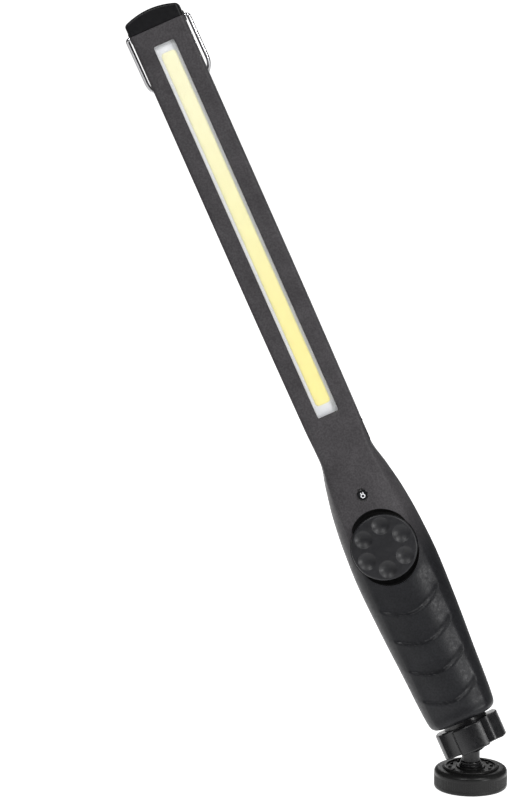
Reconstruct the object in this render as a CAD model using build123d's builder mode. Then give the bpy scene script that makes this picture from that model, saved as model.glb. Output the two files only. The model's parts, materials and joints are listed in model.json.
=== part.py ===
from build123d import *
import os
from math import cos, radians, sin, sqrt

# Rechargeable LED light wand on a magnetic ball-joint foot.  All sizes are in millimetres.
#
# World frame: +Z up, the magnet's flat face lies on z = 0 with its centre at the origin.
# Lamp frame: the wand is drawn upright about its own axis (+Z towards the head, front face
# towards -Y, origin at the centre of the ball) and is then placed, leaning, by `lean`.

os.makedirs("parts", exist_ok=True)

# ---------------------------------------------------------------- driving dimensions

# How the wand stands on its foot.
ball_height = 23.8          # centre of the ball above the magnet's face
lean_tilt = 26.0            # lean of the wand from upright
lean_direction = 157.7      # compass direction of the lean, from +X towards +Y
lamp_twist = -156.8         # turn of the wand about its own axis

# Wand, measured up its axis from the centre of the ball.
grip_foot = 7.7             # lower end of the handle
head_foot = 152.0           # where the handle has narrowed into the straight head
head_full = 224.0           # above this the head keeps its full width
cap_seam = 337.2            # joint between the housing and the end cap
cap_shoulder = 342.8        # corners of the end cap
crown = 345.4               # top of the end cap
wall = 1.8                  # wall of the moulded shells
head_width = 25.4
head_depth = 20.0
parting = 1.0               # the front shell ends this far in front of the axis

# Window and light engine in the head.
window_top = 329.3
window_bottom = 153.7
window_width = 9.6
window_corner = 0.8
window_step = 0.8           # thickness of the rim that the lens sits behind
lens_thickness = 1.0
lens_overlap = 0.9          # how far the lens reaches past the window on each side
strip_width = 6.8
strip_thickness = 0.5
board_thickness = 1.0
heat_sink_thickness = 3.0

# Dial.  The dial and the indicator lie a little to one side of the handle's centre line.
indicator_offset = -0.5
dial_offset = -1.1
dial_height = 91.4
dial_diameter = 28.9
dial_face = 14.9            # distance of the dial's face in front of the axis
dial_thickness = 2.9
pocket_diameter = 34.0
pocket_floor = 11.6         # distance of the pocket's floor in front of the axis
dimple_diameter = 7.4
dimple_circle = 9.7         # radius of the circle that the finger dimples lie on
dimple_count = 6
dimple_start = 16.0
shaft_diameter = 6.0

# Indicator and charge port.
indicator_height = 115.8
indicator_diameter = 4.9
indicator_depth = 13.4      # outer face of the indicator in front of the axis
port_height = 141.6
port_flat = 11.1            # distance of the port cover's seat from the axis
socket_width = 7.5
socket_height = 2.6
cover_length = 11.0
cover_width = 5.6
cover_thickness = 1.2
cover_hinge = 0.6           # thickness that the cover is shaved down to at its tether

# Electronics in the handle.
cell_diameter = 18.4
cell_length = 65.0
cell_foot = 14.4
cell_depth = 1.5            # distance of the cell's axis behind the lamp axis
board_width = 15.0
board_foot = 80.6
board_top = 150.0
board_front = 3.2           # front face of the main board, in front of the axis
board_sheet = 1.6

# Screws that hold the two shells together: (height, distance from the centre line).
screw_places = [(28.0, 12.8), (106.0, 11.4), (246.0, 8.6)]
screw_shank = 2.2
screw_head = 4.2
skirt_length = 5.0          # part of the end cap that plugs into the head
post_diameter = 4.8

# Hanging hook.
wire_diameter = 1.8
hook_half_width = 14.45     # wire centre line from the lamp axis
hook_pivot_back = 3.0       # pivots lie this far behind the lamp axis
hook_reach = 28.7           # pivot to cross bar, down the wand
hook_back = 12.2            # cross bar behind the lamp axis
hook_bend = 9.0
hook_corner = 1.1           # bend beside each pivot
bush_diameter = 3.4

# Ball joint and lock collar.
ball_diameter = 16.0
ball_gap = 0.06
stem_diameter = 7.9
seat_diameter = 17.2
boss_diameter = 19.4
boss_shelf = 11.0           # underside of the flange that rests on the handle's floor
collar_top = 5.9
collar_bottom = -5.6
collar_diameter = 29.0
collar_lobes = 4
flute_radius = 4.1
flute_centre = 15.2
lip_top = -1.8              # the collar's lip holds the ball between these two levels
lip_edge = -3.4
collar_mouth = 8.7          # radius of the collar's opening at its lower face

# Magnetic foot.
foot_diameter = 32.0
foot_height = 9.2
foot_underside = 0.3
pad_diameter = 27.0
pad_thickness = 1.2
pot_diameter = 27.6
pot_top = 7.2
magnet_diameter = 24.6
magnet_hole = 11.0
plate_diameter = 24.0
plate_seat = 8.2
plate_top = 10.0
journal_diameter = 6.5

# Clearances, and a length for cuts that only have to reach the outside.
seat_gap = 0.1              # parts laid into a seat
thread_gap = 0.02           # screws in their holes
push_gap = 0.05             # parts pressed or bonded into each other
loose_gap = 0.3             # holes that a fastener, shaft or cap passes through freely
long_cut = 30.0

lean = (
    Pos(0, 0, ball_height)
    * Rot(0, 0, lean_direction)
    * Rot(0, lean_tilt, 0)
    * Rot(0, 0, lamp_twist)
)


# ---------------------------------------------------------------- shared outlines

# An ellipse passes this share of its half size inside the corner of its box, at 45 degrees.
ellipse_share = 1 - sqrt(0.5)
sharpest_corner = 0.6

# Handle sections: height, width, depth, bulge (0 flat sides, 1 an ellipse), corner radius.
handle_sections = [
    (head_foot, 24.7, head_depth, 0.03, 1.6),
    (136.0, 24.2, 20.4, 0.16, 2.6),
    (124.0, 29.0, 23.6, 0.50, 4.5),
    (111.0, 33.7, 27.2, 0.75, 6.0),
    (97.0, 36.5, 29.2, 0.85, 6.5),
    (80.0, 37.9, 29.8, 0.85, 6.5),
    (58.0, 36.5, 29.2, 0.85, 6.5),
    (36.0, 34.0, 28.2, 0.82, 6.0),
    (17.0, 32.0, 27.2, 0.78, 5.5),
    (11.0, 30.8, 26.2, 0.78, 5.5),
]
# The lower edge of the handle is rounded by a few short steps.
handle_end = [
    (11.0, 30.8, 26.2, 0.78, 5.5),
    (9.2, 29.6, 25.0, 0.78, 5.2),
    (8.1, 27.4, 22.8, 0.78, 4.8),
    (grip_foot, 24.6, 20.0, 0.78, 4.4),
]
head_section = (head_width, head_depth, 0.03, 1.6)
head_sections = [
    (cap_seam, *head_section),
    (head_full, *head_section),
    (head_foot, 24.7, head_depth, 0.03, 1.6),
]


def cross_section(height, width, depth, bulge, corner, inset=0.0):
    """Return one cross-section of the wand, drawn in from the outer skin by inset."""
    half_width = width / 2 - inset
    half_depth = depth / 2 - inset
    side_x = half_width * (1 - ellipse_share * bulge)
    side_y = half_depth * (1 - ellipse_share * bulge)
    with BuildSketch(Plane.XY.offset(height)) as section:
        with BuildLine():
            ThreePointArc((-side_x, -side_y), (0, -half_depth), (side_x, -side_y))
            ThreePointArc((side_x, -side_y), (half_width, 0), (side_x, side_y))
            ThreePointArc((side_x, side_y), (0, half_depth), (-side_x, side_y))
            ThreePointArc((-side_x, side_y), (-half_width, 0), (-side_x, -side_y))
        make_face()
        fillet(section.vertices(), radius=max(corner - inset, sharpest_corner))
    return section.sketch


# Solid outer form of the housing, and the space inside its walls.
with BuildPart() as housing_form:
    loft([cross_section(*station) for station in head_sections], ruled=True)
    loft([cross_section(*station) for station in handle_sections])
    loft([cross_section(*station) for station in handle_end], ruled=True)

with BuildPart() as housing_space:
    loft([cross_section(*station, inset=wall) for station in head_sections], ruled=True)
    loft([cross_section(*station, inset=wall) for station in handle_sections])


# ---------------------------------------------------------------- wand: shells

def post_points():
    """Centres of the screw posts on the XZ plane."""
    return [(side * offset, height) for height, offset in screw_places for side in (-1, 1)]


pocket_centre = (dial_offset, dial_height)
indicator_centre = (indicator_offset, indicator_height)
hook_pivot = (hook_pivot_back, cap_seam)
window_centre = (0, (window_top + window_bottom) / 2)
window_length = window_top - window_bottom
screw_seat = parting + 5.0        # underside of the screw heads, behind the lamp axis
screw_grip = 5.0                  # depth of thread in the front posts
post_length = screw_grip + 2.4
post_reach = parting + 0.6        # rear posts stop this far behind the lamp axis
post_wall = 0.9                   # rear posts are this much thicker all round
rim_length = lens_overlap + 0.5   # rim of the lens seat, past the window's end
lens_length = window_length + 2 * lens_overlap
lens_width = window_width + 2 * lens_overlap
front_skin = head_depth / 2
lens_front = front_skin - window_step
lens_back = lens_front - lens_thickness
port_centre = (-board_front - socket_height / 2, port_height)

with BuildPart() as front_housing:
    add(housing_form.part)
    add(housing_space.part, mode=Mode.SUBTRACT)
    # Floor of the dial pocket, kept inside the outer form.
    with BuildSketch(Plane.XZ.offset(pocket_floor - wall)):
        with Locations(pocket_centre):
            Circle(pocket_diameter / 2 + wall)
    extrude(amount=wall)
    # Rim behind the window that the lens is bonded into.
    with BuildSketch(Plane.XZ.offset(lens_back)):
        with Locations(window_centre):
            Rectangle(lens_width + 2 * wall, window_length + 2 * rim_length + 0.2)
    extrude(amount=lens_thickness + 0.2)
    # Screw posts.
    with BuildSketch(Plane.XZ.offset(parting)):
        with Locations(*post_points()):
            Circle(post_diameter / 2)
    extrude(amount=post_length)
    add(housing_form.part, mode=Mode.INTERSECT)
    split(bisect_by=Plane.XZ.offset(parting), keep=Keep.TOP)
    # Window, with a wider step behind it for the lens.
    with BuildSketch(Plane.XZ):
        with Locations(window_centre):
            RectangleRounded(window_width, window_length, window_corner)
    extrude(amount=long_cut, mode=Mode.SUBTRACT)
    with BuildSketch(Plane.XZ):
        with Locations(window_centre):
            Rectangle(lens_width + 2 * seat_gap, lens_length + 2 * seat_gap)
    extrude(amount=lens_front, mode=Mode.SUBTRACT)
    # Dial pocket and the hole for the dial shaft.
    with BuildSketch(Plane.XZ.offset(pocket_floor)):
        with Locations(pocket_centre):
            Circle(pocket_diameter / 2)
    extrude(amount=long_cut, mode=Mode.SUBTRACT)
    with BuildSketch(Plane.XZ):
        with Locations(pocket_centre):
            Circle(shaft_diameter / 2 + loose_gap)
        with Locations(indicator_centre):
            Circle(indicator_diameter / 2)
    extrude(amount=long_cut, mode=Mode.SUBTRACT)
    with BuildSketch(Plane.XZ):
        with Locations(*post_points()):
            Circle(screw_shank / 2 + thread_gap)
    extrude(amount=parting + screw_grip + 0.4, mode=Mode.SUBTRACT)
    # Flat seat of the port cover, and the slot for the charge socket.
    with BuildSketch(Plane.YZ.offset(port_flat)):
        with Locations(port_centre):
            Rectangle(cover_width + loose_gap, cover_length + loose_gap)
    extrude(amount=long_cut, mode=Mode.SUBTRACT)
    with BuildSketch(Plane.YZ.offset(port_flat - wall - 1)):
        with Locations(port_centre):
            Rectangle(socket_height + 2 * seat_gap, socket_width + 2 * seat_gap)
    extrude(amount=long_cut, mode=Mode.SUBTRACT)
    # Seat of the ball-joint boss in the floor of the handle.
    with BuildSketch(Plane.XY.offset(grip_foot - 1)):
        Circle(boss_diameter / 2 + push_gap)
    extrude(amount=boss_shelf - grip_foot + 2, mode=Mode.SUBTRACT)
    # Half of the round seats of the hook bushes, at the seam with the end cap.
    with BuildSketch(Plane.YZ.offset(-head_width)):
        with Locations(hook_pivot):
            Circle(bush_diameter / 2)
    extrude(amount=2 * head_width, mode=Mode.SUBTRACT)
front_housing.part.label = "front_housing"
export_step(front_housing.part.moved(lean), "parts/front_housing.step")

with BuildPart() as rear_housing:
    add(housing_form.part)
    add(housing_space.part, mode=Mode.SUBTRACT)
    with BuildSketch(Plane.XZ.offset(-post_reach)):
        with Locations(*post_points()):
            Circle(post_diameter / 2 + post_wall)
    extrude(amount=-long_cut)
    add(housing_form.part, mode=Mode.INTERSECT)
    split(bisect_by=Plane.XZ.offset(parting), keep=Keep.BOTTOM)
    with BuildSketch(Plane.XZ.offset(-screw_seat)):
        with Locations(*post_points()):
            Circle(screw_head / 2 + loose_gap)
    extrude(amount=-long_cut, mode=Mode.SUBTRACT)
    with BuildSketch(Plane.XZ):
        with Locations(*post_points()):
            Circle(screw_shank / 2 + 0.5 * loose_gap)
    extrude(amount=-long_cut, mode=Mode.SUBTRACT)
    with BuildSketch(Plane.XY.offset(grip_foot - 1)):
        Circle(boss_diameter / 2 + push_gap)
    extrude(amount=boss_shelf - grip_foot + 2, mode=Mode.SUBTRACT)
    with BuildSketch(Plane.YZ.offset(-head_width)):
        with Locations(hook_pivot):
            Circle(bush_diameter / 2)
    extrude(amount=2 * head_width, mode=Mode.SUBTRACT)
rear_housing.part.label = "rear_housing"
export_step(rear_housing.part.moved(lean), "parts/rear_housing.step")

cap_roof = cap_shoulder - wall    # inner face of the cap's top
skirt_wall = 1.2
skirt_opening = 1.6               # the skirt has only its front and back walls
cap_edge = 1.0

with BuildPart() as end_cap:
    with BuildSketch(Plane.XY.offset(cap_seam + push_gap)):
        add(cross_section(0, *head_section))
    extrude(amount=crown - cap_seam)
    # Crowned top.
    with BuildSketch(Plane.XZ) as crown_outline:
        with BuildLine():
            Polyline(
                (-head_width / 2, cap_shoulder),
                (-head_width / 2, cap_seam),
                (head_width / 2, cap_seam),
                (head_width / 2, cap_shoulder),
            )
            ThreePointArc(
                (head_width / 2, cap_shoulder), (0, crown), (-head_width / 2, cap_shoulder)
            )
        make_face()
        fillet(crown_outline.vertices().group_by(Axis.Y)[-1], radius=cap_edge)
    extrude(amount=head_depth, both=True, mode=Mode.INTERSECT)
    # Hollow inside, and a skirt on the front and back walls that plugs into the head.
    with BuildSketch(Plane.XY.offset(cap_seam)):
        add(cross_section(0, *head_section, inset=wall))
    extrude(amount=cap_roof - cap_seam, mode=Mode.SUBTRACT)
    with BuildSketch(Plane.XY.offset(cap_seam - skirt_length)):
        add(cross_section(0, *head_section, inset=wall + seat_gap))
        add(
            cross_section(0, *head_section, inset=wall + seat_gap + skirt_wall),
            mode=Mode.SUBTRACT,
        )
        Rectangle(head_width, head_depth - 2 * (wall + skirt_opening), mode=Mode.SUBTRACT)
    extrude(amount=skirt_length + cap_roof - cap_seam + 0.5)
    with BuildSketch(Plane.YZ.offset(-head_width)):
        with Locations(hook_pivot):
            Circle(bush_diameter / 2)
    extrude(amount=2 * head_width, mode=Mode.SUBTRACT)
end_cap.part.label = "end_cap"
export_step(end_cap.part.moved(lean), "parts/end_cap.step")

screw_head_height = 1.7
recess_length = 2.4               # cross recess in each screw head
recess_width = 0.55
recess_floor = 0.7

with BuildPart() as housing_screws:
    with BuildSketch(Plane.XZ.offset(-screw_seat)):
        with Locations(*post_points()):
            Circle(screw_head / 2)
    extrude(amount=-screw_head_height)
    with BuildSketch(Plane.XZ.offset(-screw_seat)):
        with Locations(*post_points()):
            Circle(screw_shank / 2)
    extrude(amount=screw_seat + parting + screw_grip)
    with BuildSketch(Plane.XZ.offset(-screw_seat - recess_floor)):
        with Locations(*post_points()):
            Rectangle(recess_length, recess_width)
            Rectangle(recess_width, recess_length)
    extrude(amount=-screw_head_height, mode=Mode.SUBTRACT)
housing_screws.part.label = "housing_screws"
export_step(housing_screws.part.moved(lean), "parts/housing_screws.step")

# ---------------------------------------------------------------- wand: light engine

lens_corner = 0.6

with BuildPart() as window_lens:
    with BuildSketch(Plane.XZ.offset(lens_back)):
        with Locations(window_centre):
            RectangleRounded(lens_width, lens_length, lens_corner)
    extrude(amount=lens_thickness)
window_lens.part.label = "window_lens"
export_step(window_lens.part.moved(lean), "parts/window_lens.step")

strip_back = lens_back - loose_gap - strip_thickness
strip_length = window_length - 8.8            # bare board shows past both ends of the strip
strip_centre = (0, window_centre[1] + 0.4)
strip_corner = 1.6
board_corner = 0.6
board_back = strip_back - board_thickness
bar_width = lens_width - 0.6                  # the board and the heat sink behind it

with BuildPart() as led_strip:
    with BuildSketch(Plane.XZ.offset(strip_back)):
        with Locations(strip_centre):
            RectangleRounded(strip_width, strip_length, strip_corner)
    extrude(amount=strip_thickness)
    fillet(led_strip.faces().sort_by(Axis.Y)[0].edges(), radius=strip_thickness / 2)
led_strip.part.label = "led_strip"
export_step(led_strip.part.moved(lean), "parts/led_strip.step")

with BuildPart() as cob_board:
    with BuildSketch(Plane.XZ.offset(board_back)):
        with Locations(window_centre):
            RectangleRounded(bar_width, window_length + 1.0, board_corner)
    extrude(amount=board_thickness)
cob_board.part.label = "cob_board"
export_step(cob_board.part.moved(lean), "parts/cob_board.step")

# Extruded aluminium bar with grooves along its back.
groove_count = 4
groove_pitch = 2.6
groove_width = 1.2
groove_depth = 1.2
bar_foot = window_bottom + 3.0

with BuildPart() as heat_sink:
    with BuildSketch(Plane.XY.offset(bar_foot)) as bar_section:
        with Locations((0, -board_back + heat_sink_thickness / 2)):
            Rectangle(bar_width, heat_sink_thickness)
            with GridLocations(groove_pitch, 1, groove_count, 1):
                with Locations((0, heat_sink_thickness / 2)):
                    Rectangle(groove_width, 2 * groove_depth, mode=Mode.SUBTRACT)
    extrude(amount=window_top - bar_foot)
heat_sink.part.label = "heat_sink"
export_step(heat_sink.part.moved(lean), "parts/heat_sink.step")

# Pair of leads from the lit board down to the main board.
lead_level = window_bottom + 1.2
lead_drop = 8.5
lead_side = 2.2
lead_back = 2.0 - board_back
lead_bend = 0.9
lead_diameter = 1.0

with BuildPart() as led_leads:
    for side in (-lead_side, lead_side):
        with BuildLine() as lead_path:
            FilletPolyline(
                (side, -board_back, lead_level),
                (side, lead_back, lead_level),
                (side, lead_back, lead_level - lead_drop),
                (side, -board_front, lead_level - lead_drop),
                radius=lead_bend,
            )
        with BuildSketch(Plane(lead_path.line @ 0, z_dir=lead_path.line % 0)):
            Circle(lead_diameter / 2)
        sweep()
led_leads.part.label = "led_leads"
export_step(led_leads.part.moved(lean), "parts/led_leads.step")

# ---------------------------------------------------------------- wand: handle insides

terminal_height = 0.6
terminal_diameter = 8.0

with BuildPart() as battery_cell:
    with BuildSketch(Plane.XY.offset(cell_foot)):
        with Locations((0, cell_depth)):
            Circle(cell_diameter / 2)
    extrude(amount=cell_length - terminal_height)
    fillet(battery_cell.faces().sort_by(Axis.Z)[-1].edges(), radius=0.6)
    with BuildSketch(Plane.XY.offset(cell_foot + cell_length - terminal_height)):
        with Locations((0, cell_depth)):
            Circle(terminal_diameter / 2)
    extrude(amount=terminal_height)
battery_cell.part.label = "battery_cell"
export_step(battery_cell.part.moved(lean), "parts/battery_cell.step")

tab_sheet = 0.3
tab_width = 6.0
tab_length = 10.0

with BuildPart() as battery_tabs:
    for level in (cell_foot - tab_sheet, cell_foot + cell_length):
        with BuildSketch(Plane.XY.offset(level)):
            with Locations((0, cell_depth - 2.0)):
                RectangleRounded(tab_width, tab_length, 0.8)
        extrude(amount=tab_sheet)
battery_tabs.part.label = "battery_tabs"
export_step(battery_tabs.part.moved(lean), "parts/battery_tabs.step")

# Lead from the main board down beside the cell to its lower end.
cell_lead_side = 8.6
cell_lead_front = 7.0
cell_lead_bend = 2.0
cell_lead_diameter = 1.1

with BuildPart() as battery_lead:
    with BuildLine() as battery_lead_path:
        FilletPolyline(
            (6.3, -board_front - 0.6, board_foot + 2.4),
            (6.3, -board_front - 0.6, board_foot + 0.4),
            (cell_lead_side, -cell_lead_front, board_foot - 6.0),
            (cell_lead_side, -cell_lead_front, cell_foot + 6.0),
            (cell_lead_side - 2.0, -cell_lead_front + 1.4, cell_foot + 1.2),
            radius=cell_lead_bend,
        )
    with BuildSketch(Plane(battery_lead_path.line @ 0, z_dir=battery_lead_path.line % 0)):
        Circle(cell_lead_diameter / 2)
    sweep()
battery_lead.part.label = "battery_lead"
export_step(battery_lead.part.moved(lean), "parts/battery_lead.step")

board_centre = (0, (board_foot + board_top) / 2)
board_length = board_top - board_foot
board_hole = 1.8
hole_margin = 2.0                 # centre of each corner hole from the board's edges

with BuildPart() as main_board:
    with BuildSketch(Plane.XZ.offset(board_front - board_sheet)):
        with Locations(board_centre):
            RectangleRounded(board_width, board_length, 1.0)
            with GridLocations(board_width - 2 * hole_margin, board_length - 2 * hole_margin, 2, 2):
                Circle(board_hole / 2, mode=Mode.SUBTRACT)
    extrude(amount=board_sheet)
main_board.part.label = "main_board"
export_step(main_board.part.moved(lean), "parts/main_board.step")

# Parts soldered to the back of the main board: height, offset, width, length, thickness.
board_back_face = board_front - board_sheet
chip_list = [
    (126.0, 0.0, 7.0, 7.0, 3.6),
    (114.0, -2.5, 4.0, 5.0, 1.5),
    (137.0, 2.5, 3.2, 5.0, 1.2),
    (106.0, 3.6, 2.5, 3.2, 1.6),
    (101.0, -3.8, 2.5, 3.2, 1.6),
]
with BuildPart() as board_parts:
    for level, offset, chip_width, chip_length, chip_height in chip_list:
        with BuildSketch(Plane.XZ.offset(board_back_face)):
            with Locations((offset, level)):
                RectangleRounded(chip_width, chip_length, 0.3)
        extrude(amount=-chip_height)
board_parts.part.label = "board_parts"
export_step(board_parts.part.moved(lean), "parts/board_parts.step")

dimmer_diameter = 16.0
dimmer_top = pocket_floor - wall - 1.2
bushing_diameter = 9.2
bushing_length = 1.0
shaft_end = board_front + 1.3     # inner end of the dial shaft, in front of the lamp axis

with BuildPart() as dimmer_pot:
    with BuildSketch(Plane.XZ.offset(board_front)):
        with Locations(pocket_centre):
            Circle(dimmer_diameter / 2)
    extrude(amount=dimmer_top - board_front)
    with BuildSketch(Plane.XZ.offset(dimmer_top)):
        with Locations(pocket_centre):
            Circle(bushing_diameter / 2)
    extrude(amount=bushing_length)
    with BuildSketch(Plane.XZ.offset(shaft_end - seat_gap)):
        with Locations(pocket_centre):
            Circle(shaft_diameter / 2 + push_gap)
    extrude(amount=long_cut, mode=Mode.SUBTRACT)
dimmer_pot.part.label = "dimmer_pot"
export_step(dimmer_pot.part.moved(lean), "parts/dimmer_pot.step")

lens_length_out = 2.6             # part of the indicator lens that fills its hole
shoulder_length = 0.8
pipe_diameter = 3.0
led_height = 1.1
pipe_end = board_front + led_height + 0.2

with BuildPart() as indicator_lens:
    with BuildSketch(Plane.XZ.offset(indicator_depth - lens_length_out)):
        with Locations(indicator_centre):
            Circle(indicator_diameter / 2 - thread_gap)
    extrude(amount=lens_length_out)
    fillet(indicator_lens.faces().sort_by(Axis.Y)[0].edges(), radius=0.3)
    with BuildSketch(Plane.XZ.offset(indicator_depth - lens_length_out - shoulder_length)):
        with Locations(indicator_centre):
            Circle(indicator_diameter / 2 + 0.7)
    extrude(amount=shoulder_length)
    # Light pipe down to the small LED on the board.
    with BuildSketch(Plane.XZ.offset(pipe_end)):
        with Locations(indicator_centre):
            Circle(pipe_diameter / 2)
    extrude(amount=indicator_depth - lens_length_out - pipe_end)
indicator_lens.part.label = "indicator_lens"
export_step(indicator_lens.part.moved(lean), "parts/indicator_lens.step")

with BuildPart() as indicator_led:
    with BuildSketch(Plane.XZ.offset(board_front)):
        with Locations(indicator_centre):
            RectangleRounded(2.0, 1.25, 0.2)
    extrude(amount=led_height)
indicator_led.part.label = "indicator_led"
export_step(indicator_led.part.moved(lean), "parts/indicator_led.step")

socket_depth = 5.6
socket_mouth = port_flat - 0.1
socket_sheet = 0.35
tongue_thickness = 0.6
tongue_width = socket_width - 3.6

with BuildPart() as micro_usb_socket:
    with BuildSketch(Plane.YZ.offset(socket_mouth - socket_depth)):
        with Locations(port_centre):
            RectangleRounded(socket_height, socket_width, 0.6)
    extrude(amount=socket_depth)
    with BuildSketch(Plane.YZ.offset(socket_mouth - socket_depth + tongue_thickness)):
        with Locations(port_centre):
            RectangleRounded(socket_height - 2 * socket_sheet, socket_width - 2 * socket_sheet, 0.35)
    extrude(amount=socket_depth, mode=Mode.SUBTRACT)
    # Contact tongue, 1.6 back from the mouth.
    with BuildSketch(Plane.YZ.offset(socket_mouth - socket_depth + 0.5)):
        with Locations(port_centre):
            Rectangle(tongue_thickness, tongue_width)
    extrude(amount=socket_depth - 0.5 - 1.6)
micro_usb_socket.part.label = "micro_usb_socket"
export_step(micro_usb_socket.part.moved(lean), "parts/micro_usb_socket.step")

# ---------------------------------------------------------------- port cover

cover_face = port_flat + push_gap + cover_thickness
plug_height = 1.2                 # rib on the inside that plugs into the socket
plug_length = 5.2

with BuildPart() as port_cover:
    with BuildSketch(Plane.YZ.offset(port_flat + push_gap)):
        with Locations(port_centre):
            RectangleRounded(cover_width, cover_length, 1.0)
    extrude(amount=cover_thickness)
    fillet(port_cover.faces().sort_by(Axis.X)[-1].edges(), radius=0.4)
    # The lower half of the cover is shaved down towards its tether.
    with BuildSketch(Plane.XZ.offset(-port_centre[0] - cover_width)) as shaving:
        with BuildLine():
            Polyline(
                (port_flat + cover_hinge, port_height - cover_length / 2),
                (cover_face + 0.2, port_height + 0.5),
                (cover_face + 0.2, port_height - cover_length / 2),
                close=True,
            )
        make_face()
    extrude(amount=2 * cover_width, mode=Mode.SUBTRACT)
    with BuildSketch(Plane.YZ.offset(port_flat + push_gap)):
        with Locations(port_centre):
            RectangleRounded(plug_height, plug_length, 0.4)
    extrude(amount=-plug_height)
port_cover.part.label = "port_cover"
export_step(port_cover.part.moved(lean), "parts/port_cover.step")

# ---------------------------------------------------------------- dial

dial_edge = 0.7
hub_depth = 1.5                   # how far the shaft reaches into the dial
dimple_depth = 1.1
dimple_sphere = ((dimple_diameter / 2) ** 2 + dimple_depth**2) / (2 * dimple_depth)
dimple_angles = [radians(dimple_start + k * 360 / dimple_count) for k in range(dimple_count)]

with BuildPart() as dial:
    with BuildSketch(Plane.XZ.offset(dial_face - dial_thickness)):
        with Locations(pocket_centre):
            Circle(dial_diameter / 2)
    extrude(amount=dial_thickness)
    fillet(dial.faces().sort_by(Axis.Y)[0].edges(), radius=dial_edge)
    for angle in dimple_angles:
        with Locations((
            dial_offset + dimple_circle * cos(angle),
            -(dial_face + dimple_sphere - dimple_depth),
            dial_height + dimple_circle * sin(angle),
        )):
            Sphere(dimple_sphere, mode=Mode.SUBTRACT)
    with BuildSketch(Plane.XZ.offset(dial_face - dial_thickness)):
        with Locations(pocket_centre):
            Circle(shaft_diameter / 2 + thread_gap)
    extrude(amount=hub_depth + seat_gap, mode=Mode.SUBTRACT)
dial.part.label = "dial"
export_step(dial.part.moved(lean), "parts/dial.step")

with BuildPart() as dial_shaft:
    with BuildSketch(Plane.XZ.offset(shaft_end)):
        with Locations(pocket_centre):
            Circle(shaft_diameter / 2)
    extrude(amount=dial_face - dial_thickness + hub_depth - shaft_end)
dial_shaft.part.label = "dial_shaft"
export_step(dial_shaft.part.moved(lean), "parts/dial_shaft.step")

# ---------------------------------------------------------------- hanging hook

bush_length = 2.1
bush_flange = 0.45
wire_gap = 0.06
upset_size = 0.4                  # the wire's upset ends are this much larger in radius
upset_length = 0.8

with BuildPart() as hook_bushes:
    for side in (-1, 1):
        with BuildSketch(Plane.YZ.offset(side * (head_width / 2 - bush_length))):
            with Locations(hook_pivot):
                Circle(bush_diameter / 2 - thread_gap)
        extrude(amount=side * bush_length)
        with BuildSketch(Plane.YZ.offset(side * head_width / 2)):
            with Locations(hook_pivot):
                Circle(bush_diameter / 2 + 0.6)
        extrude(amount=side * bush_flange)
    with BuildSketch(Plane.YZ.offset(-head_width)):
        with Locations(hook_pivot):
            Circle(wire_diameter / 2 + wire_gap)
    extrude(amount=2 * head_width, mode=Mode.SUBTRACT)
hook_bushes.part.label = "hook_bushes"
export_step(hook_bushes.part.moved(lean), "parts/hook_bushes.step")

pin_end = head_width / 2 - bush_length - 0.4

with BuildPart() as hook:
    with BuildLine() as hook_path:
        FilletPolyline(
            (-pin_end, hook_pivot_back, cap_seam),
            (-hook_half_width, hook_pivot_back, cap_seam),
            (-hook_half_width, hook_back, cap_seam - hook_reach),
            (hook_half_width, hook_back, cap_seam - hook_reach),
            (hook_half_width, hook_pivot_back, cap_seam),
            (pin_end, hook_pivot_back, cap_seam),
            radius=[hook_corner, hook_bend, hook_bend, hook_corner],
        )
    with BuildSketch(Plane(hook_path.line @ 0, z_dir=hook_path.line % 0)):
        Circle(wire_diameter / 2)
    sweep()
    # Upset ends that keep the wire in its bushes.
    for side in (-1, 1):
        with BuildSketch(Plane.YZ.offset(side * (pin_end - upset_length + 0.1))):
            with Locations(hook_pivot):
                Circle(wire_diameter / 2 + upset_size)
        extrude(amount=side * upset_length)
hook.part.label = "hook"
export_step(hook.part.moved(lean), "parts/hook.step")

# ---------------------------------------------------------------- ball joint and collar

boss_foot = -1.2
boss_roof = 9.7
flange_step = 1.3
flange_thickness = 2.6

with BuildPart() as socket_boss:
    with BuildSketch(Plane.XY.offset(boss_foot)):
        Circle(boss_diameter / 2)
    extrude(amount=boss_shelf - boss_foot)
    with BuildSketch(Plane.XY.offset(boss_shelf)):
        Circle(boss_diameter / 2 + flange_step)
    extrude(amount=flange_thickness)
    with BuildSketch(Plane.XY.offset(boss_foot)):
        Circle(seat_diameter / 2 + push_gap)
    extrude(amount=boss_roof - boss_foot, mode=Mode.SUBTRACT)
socket_boss.part.label = "socket_boss"
export_step(socket_boss.part.moved(lean), "parts/socket_boss.step")

with BuildPart() as ball_seat:
    with BuildSketch(Plane.XY.offset(boss_foot + loose_gap)):
        Circle(seat_diameter / 2)
    extrude(amount=boss_roof - push_gap - boss_foot - loose_gap)
    Sphere(ball_diameter / 2 + ball_gap, mode=Mode.SUBTRACT)
ball_seat.part.label = "ball_seat"
export_step(ball_seat.part.moved(lean), "parts/ball_seat.step")

lobe_corner = 1.2
collar_edge = 0.5
collar_gap = 0.08
lip_radius = 7.3

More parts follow.
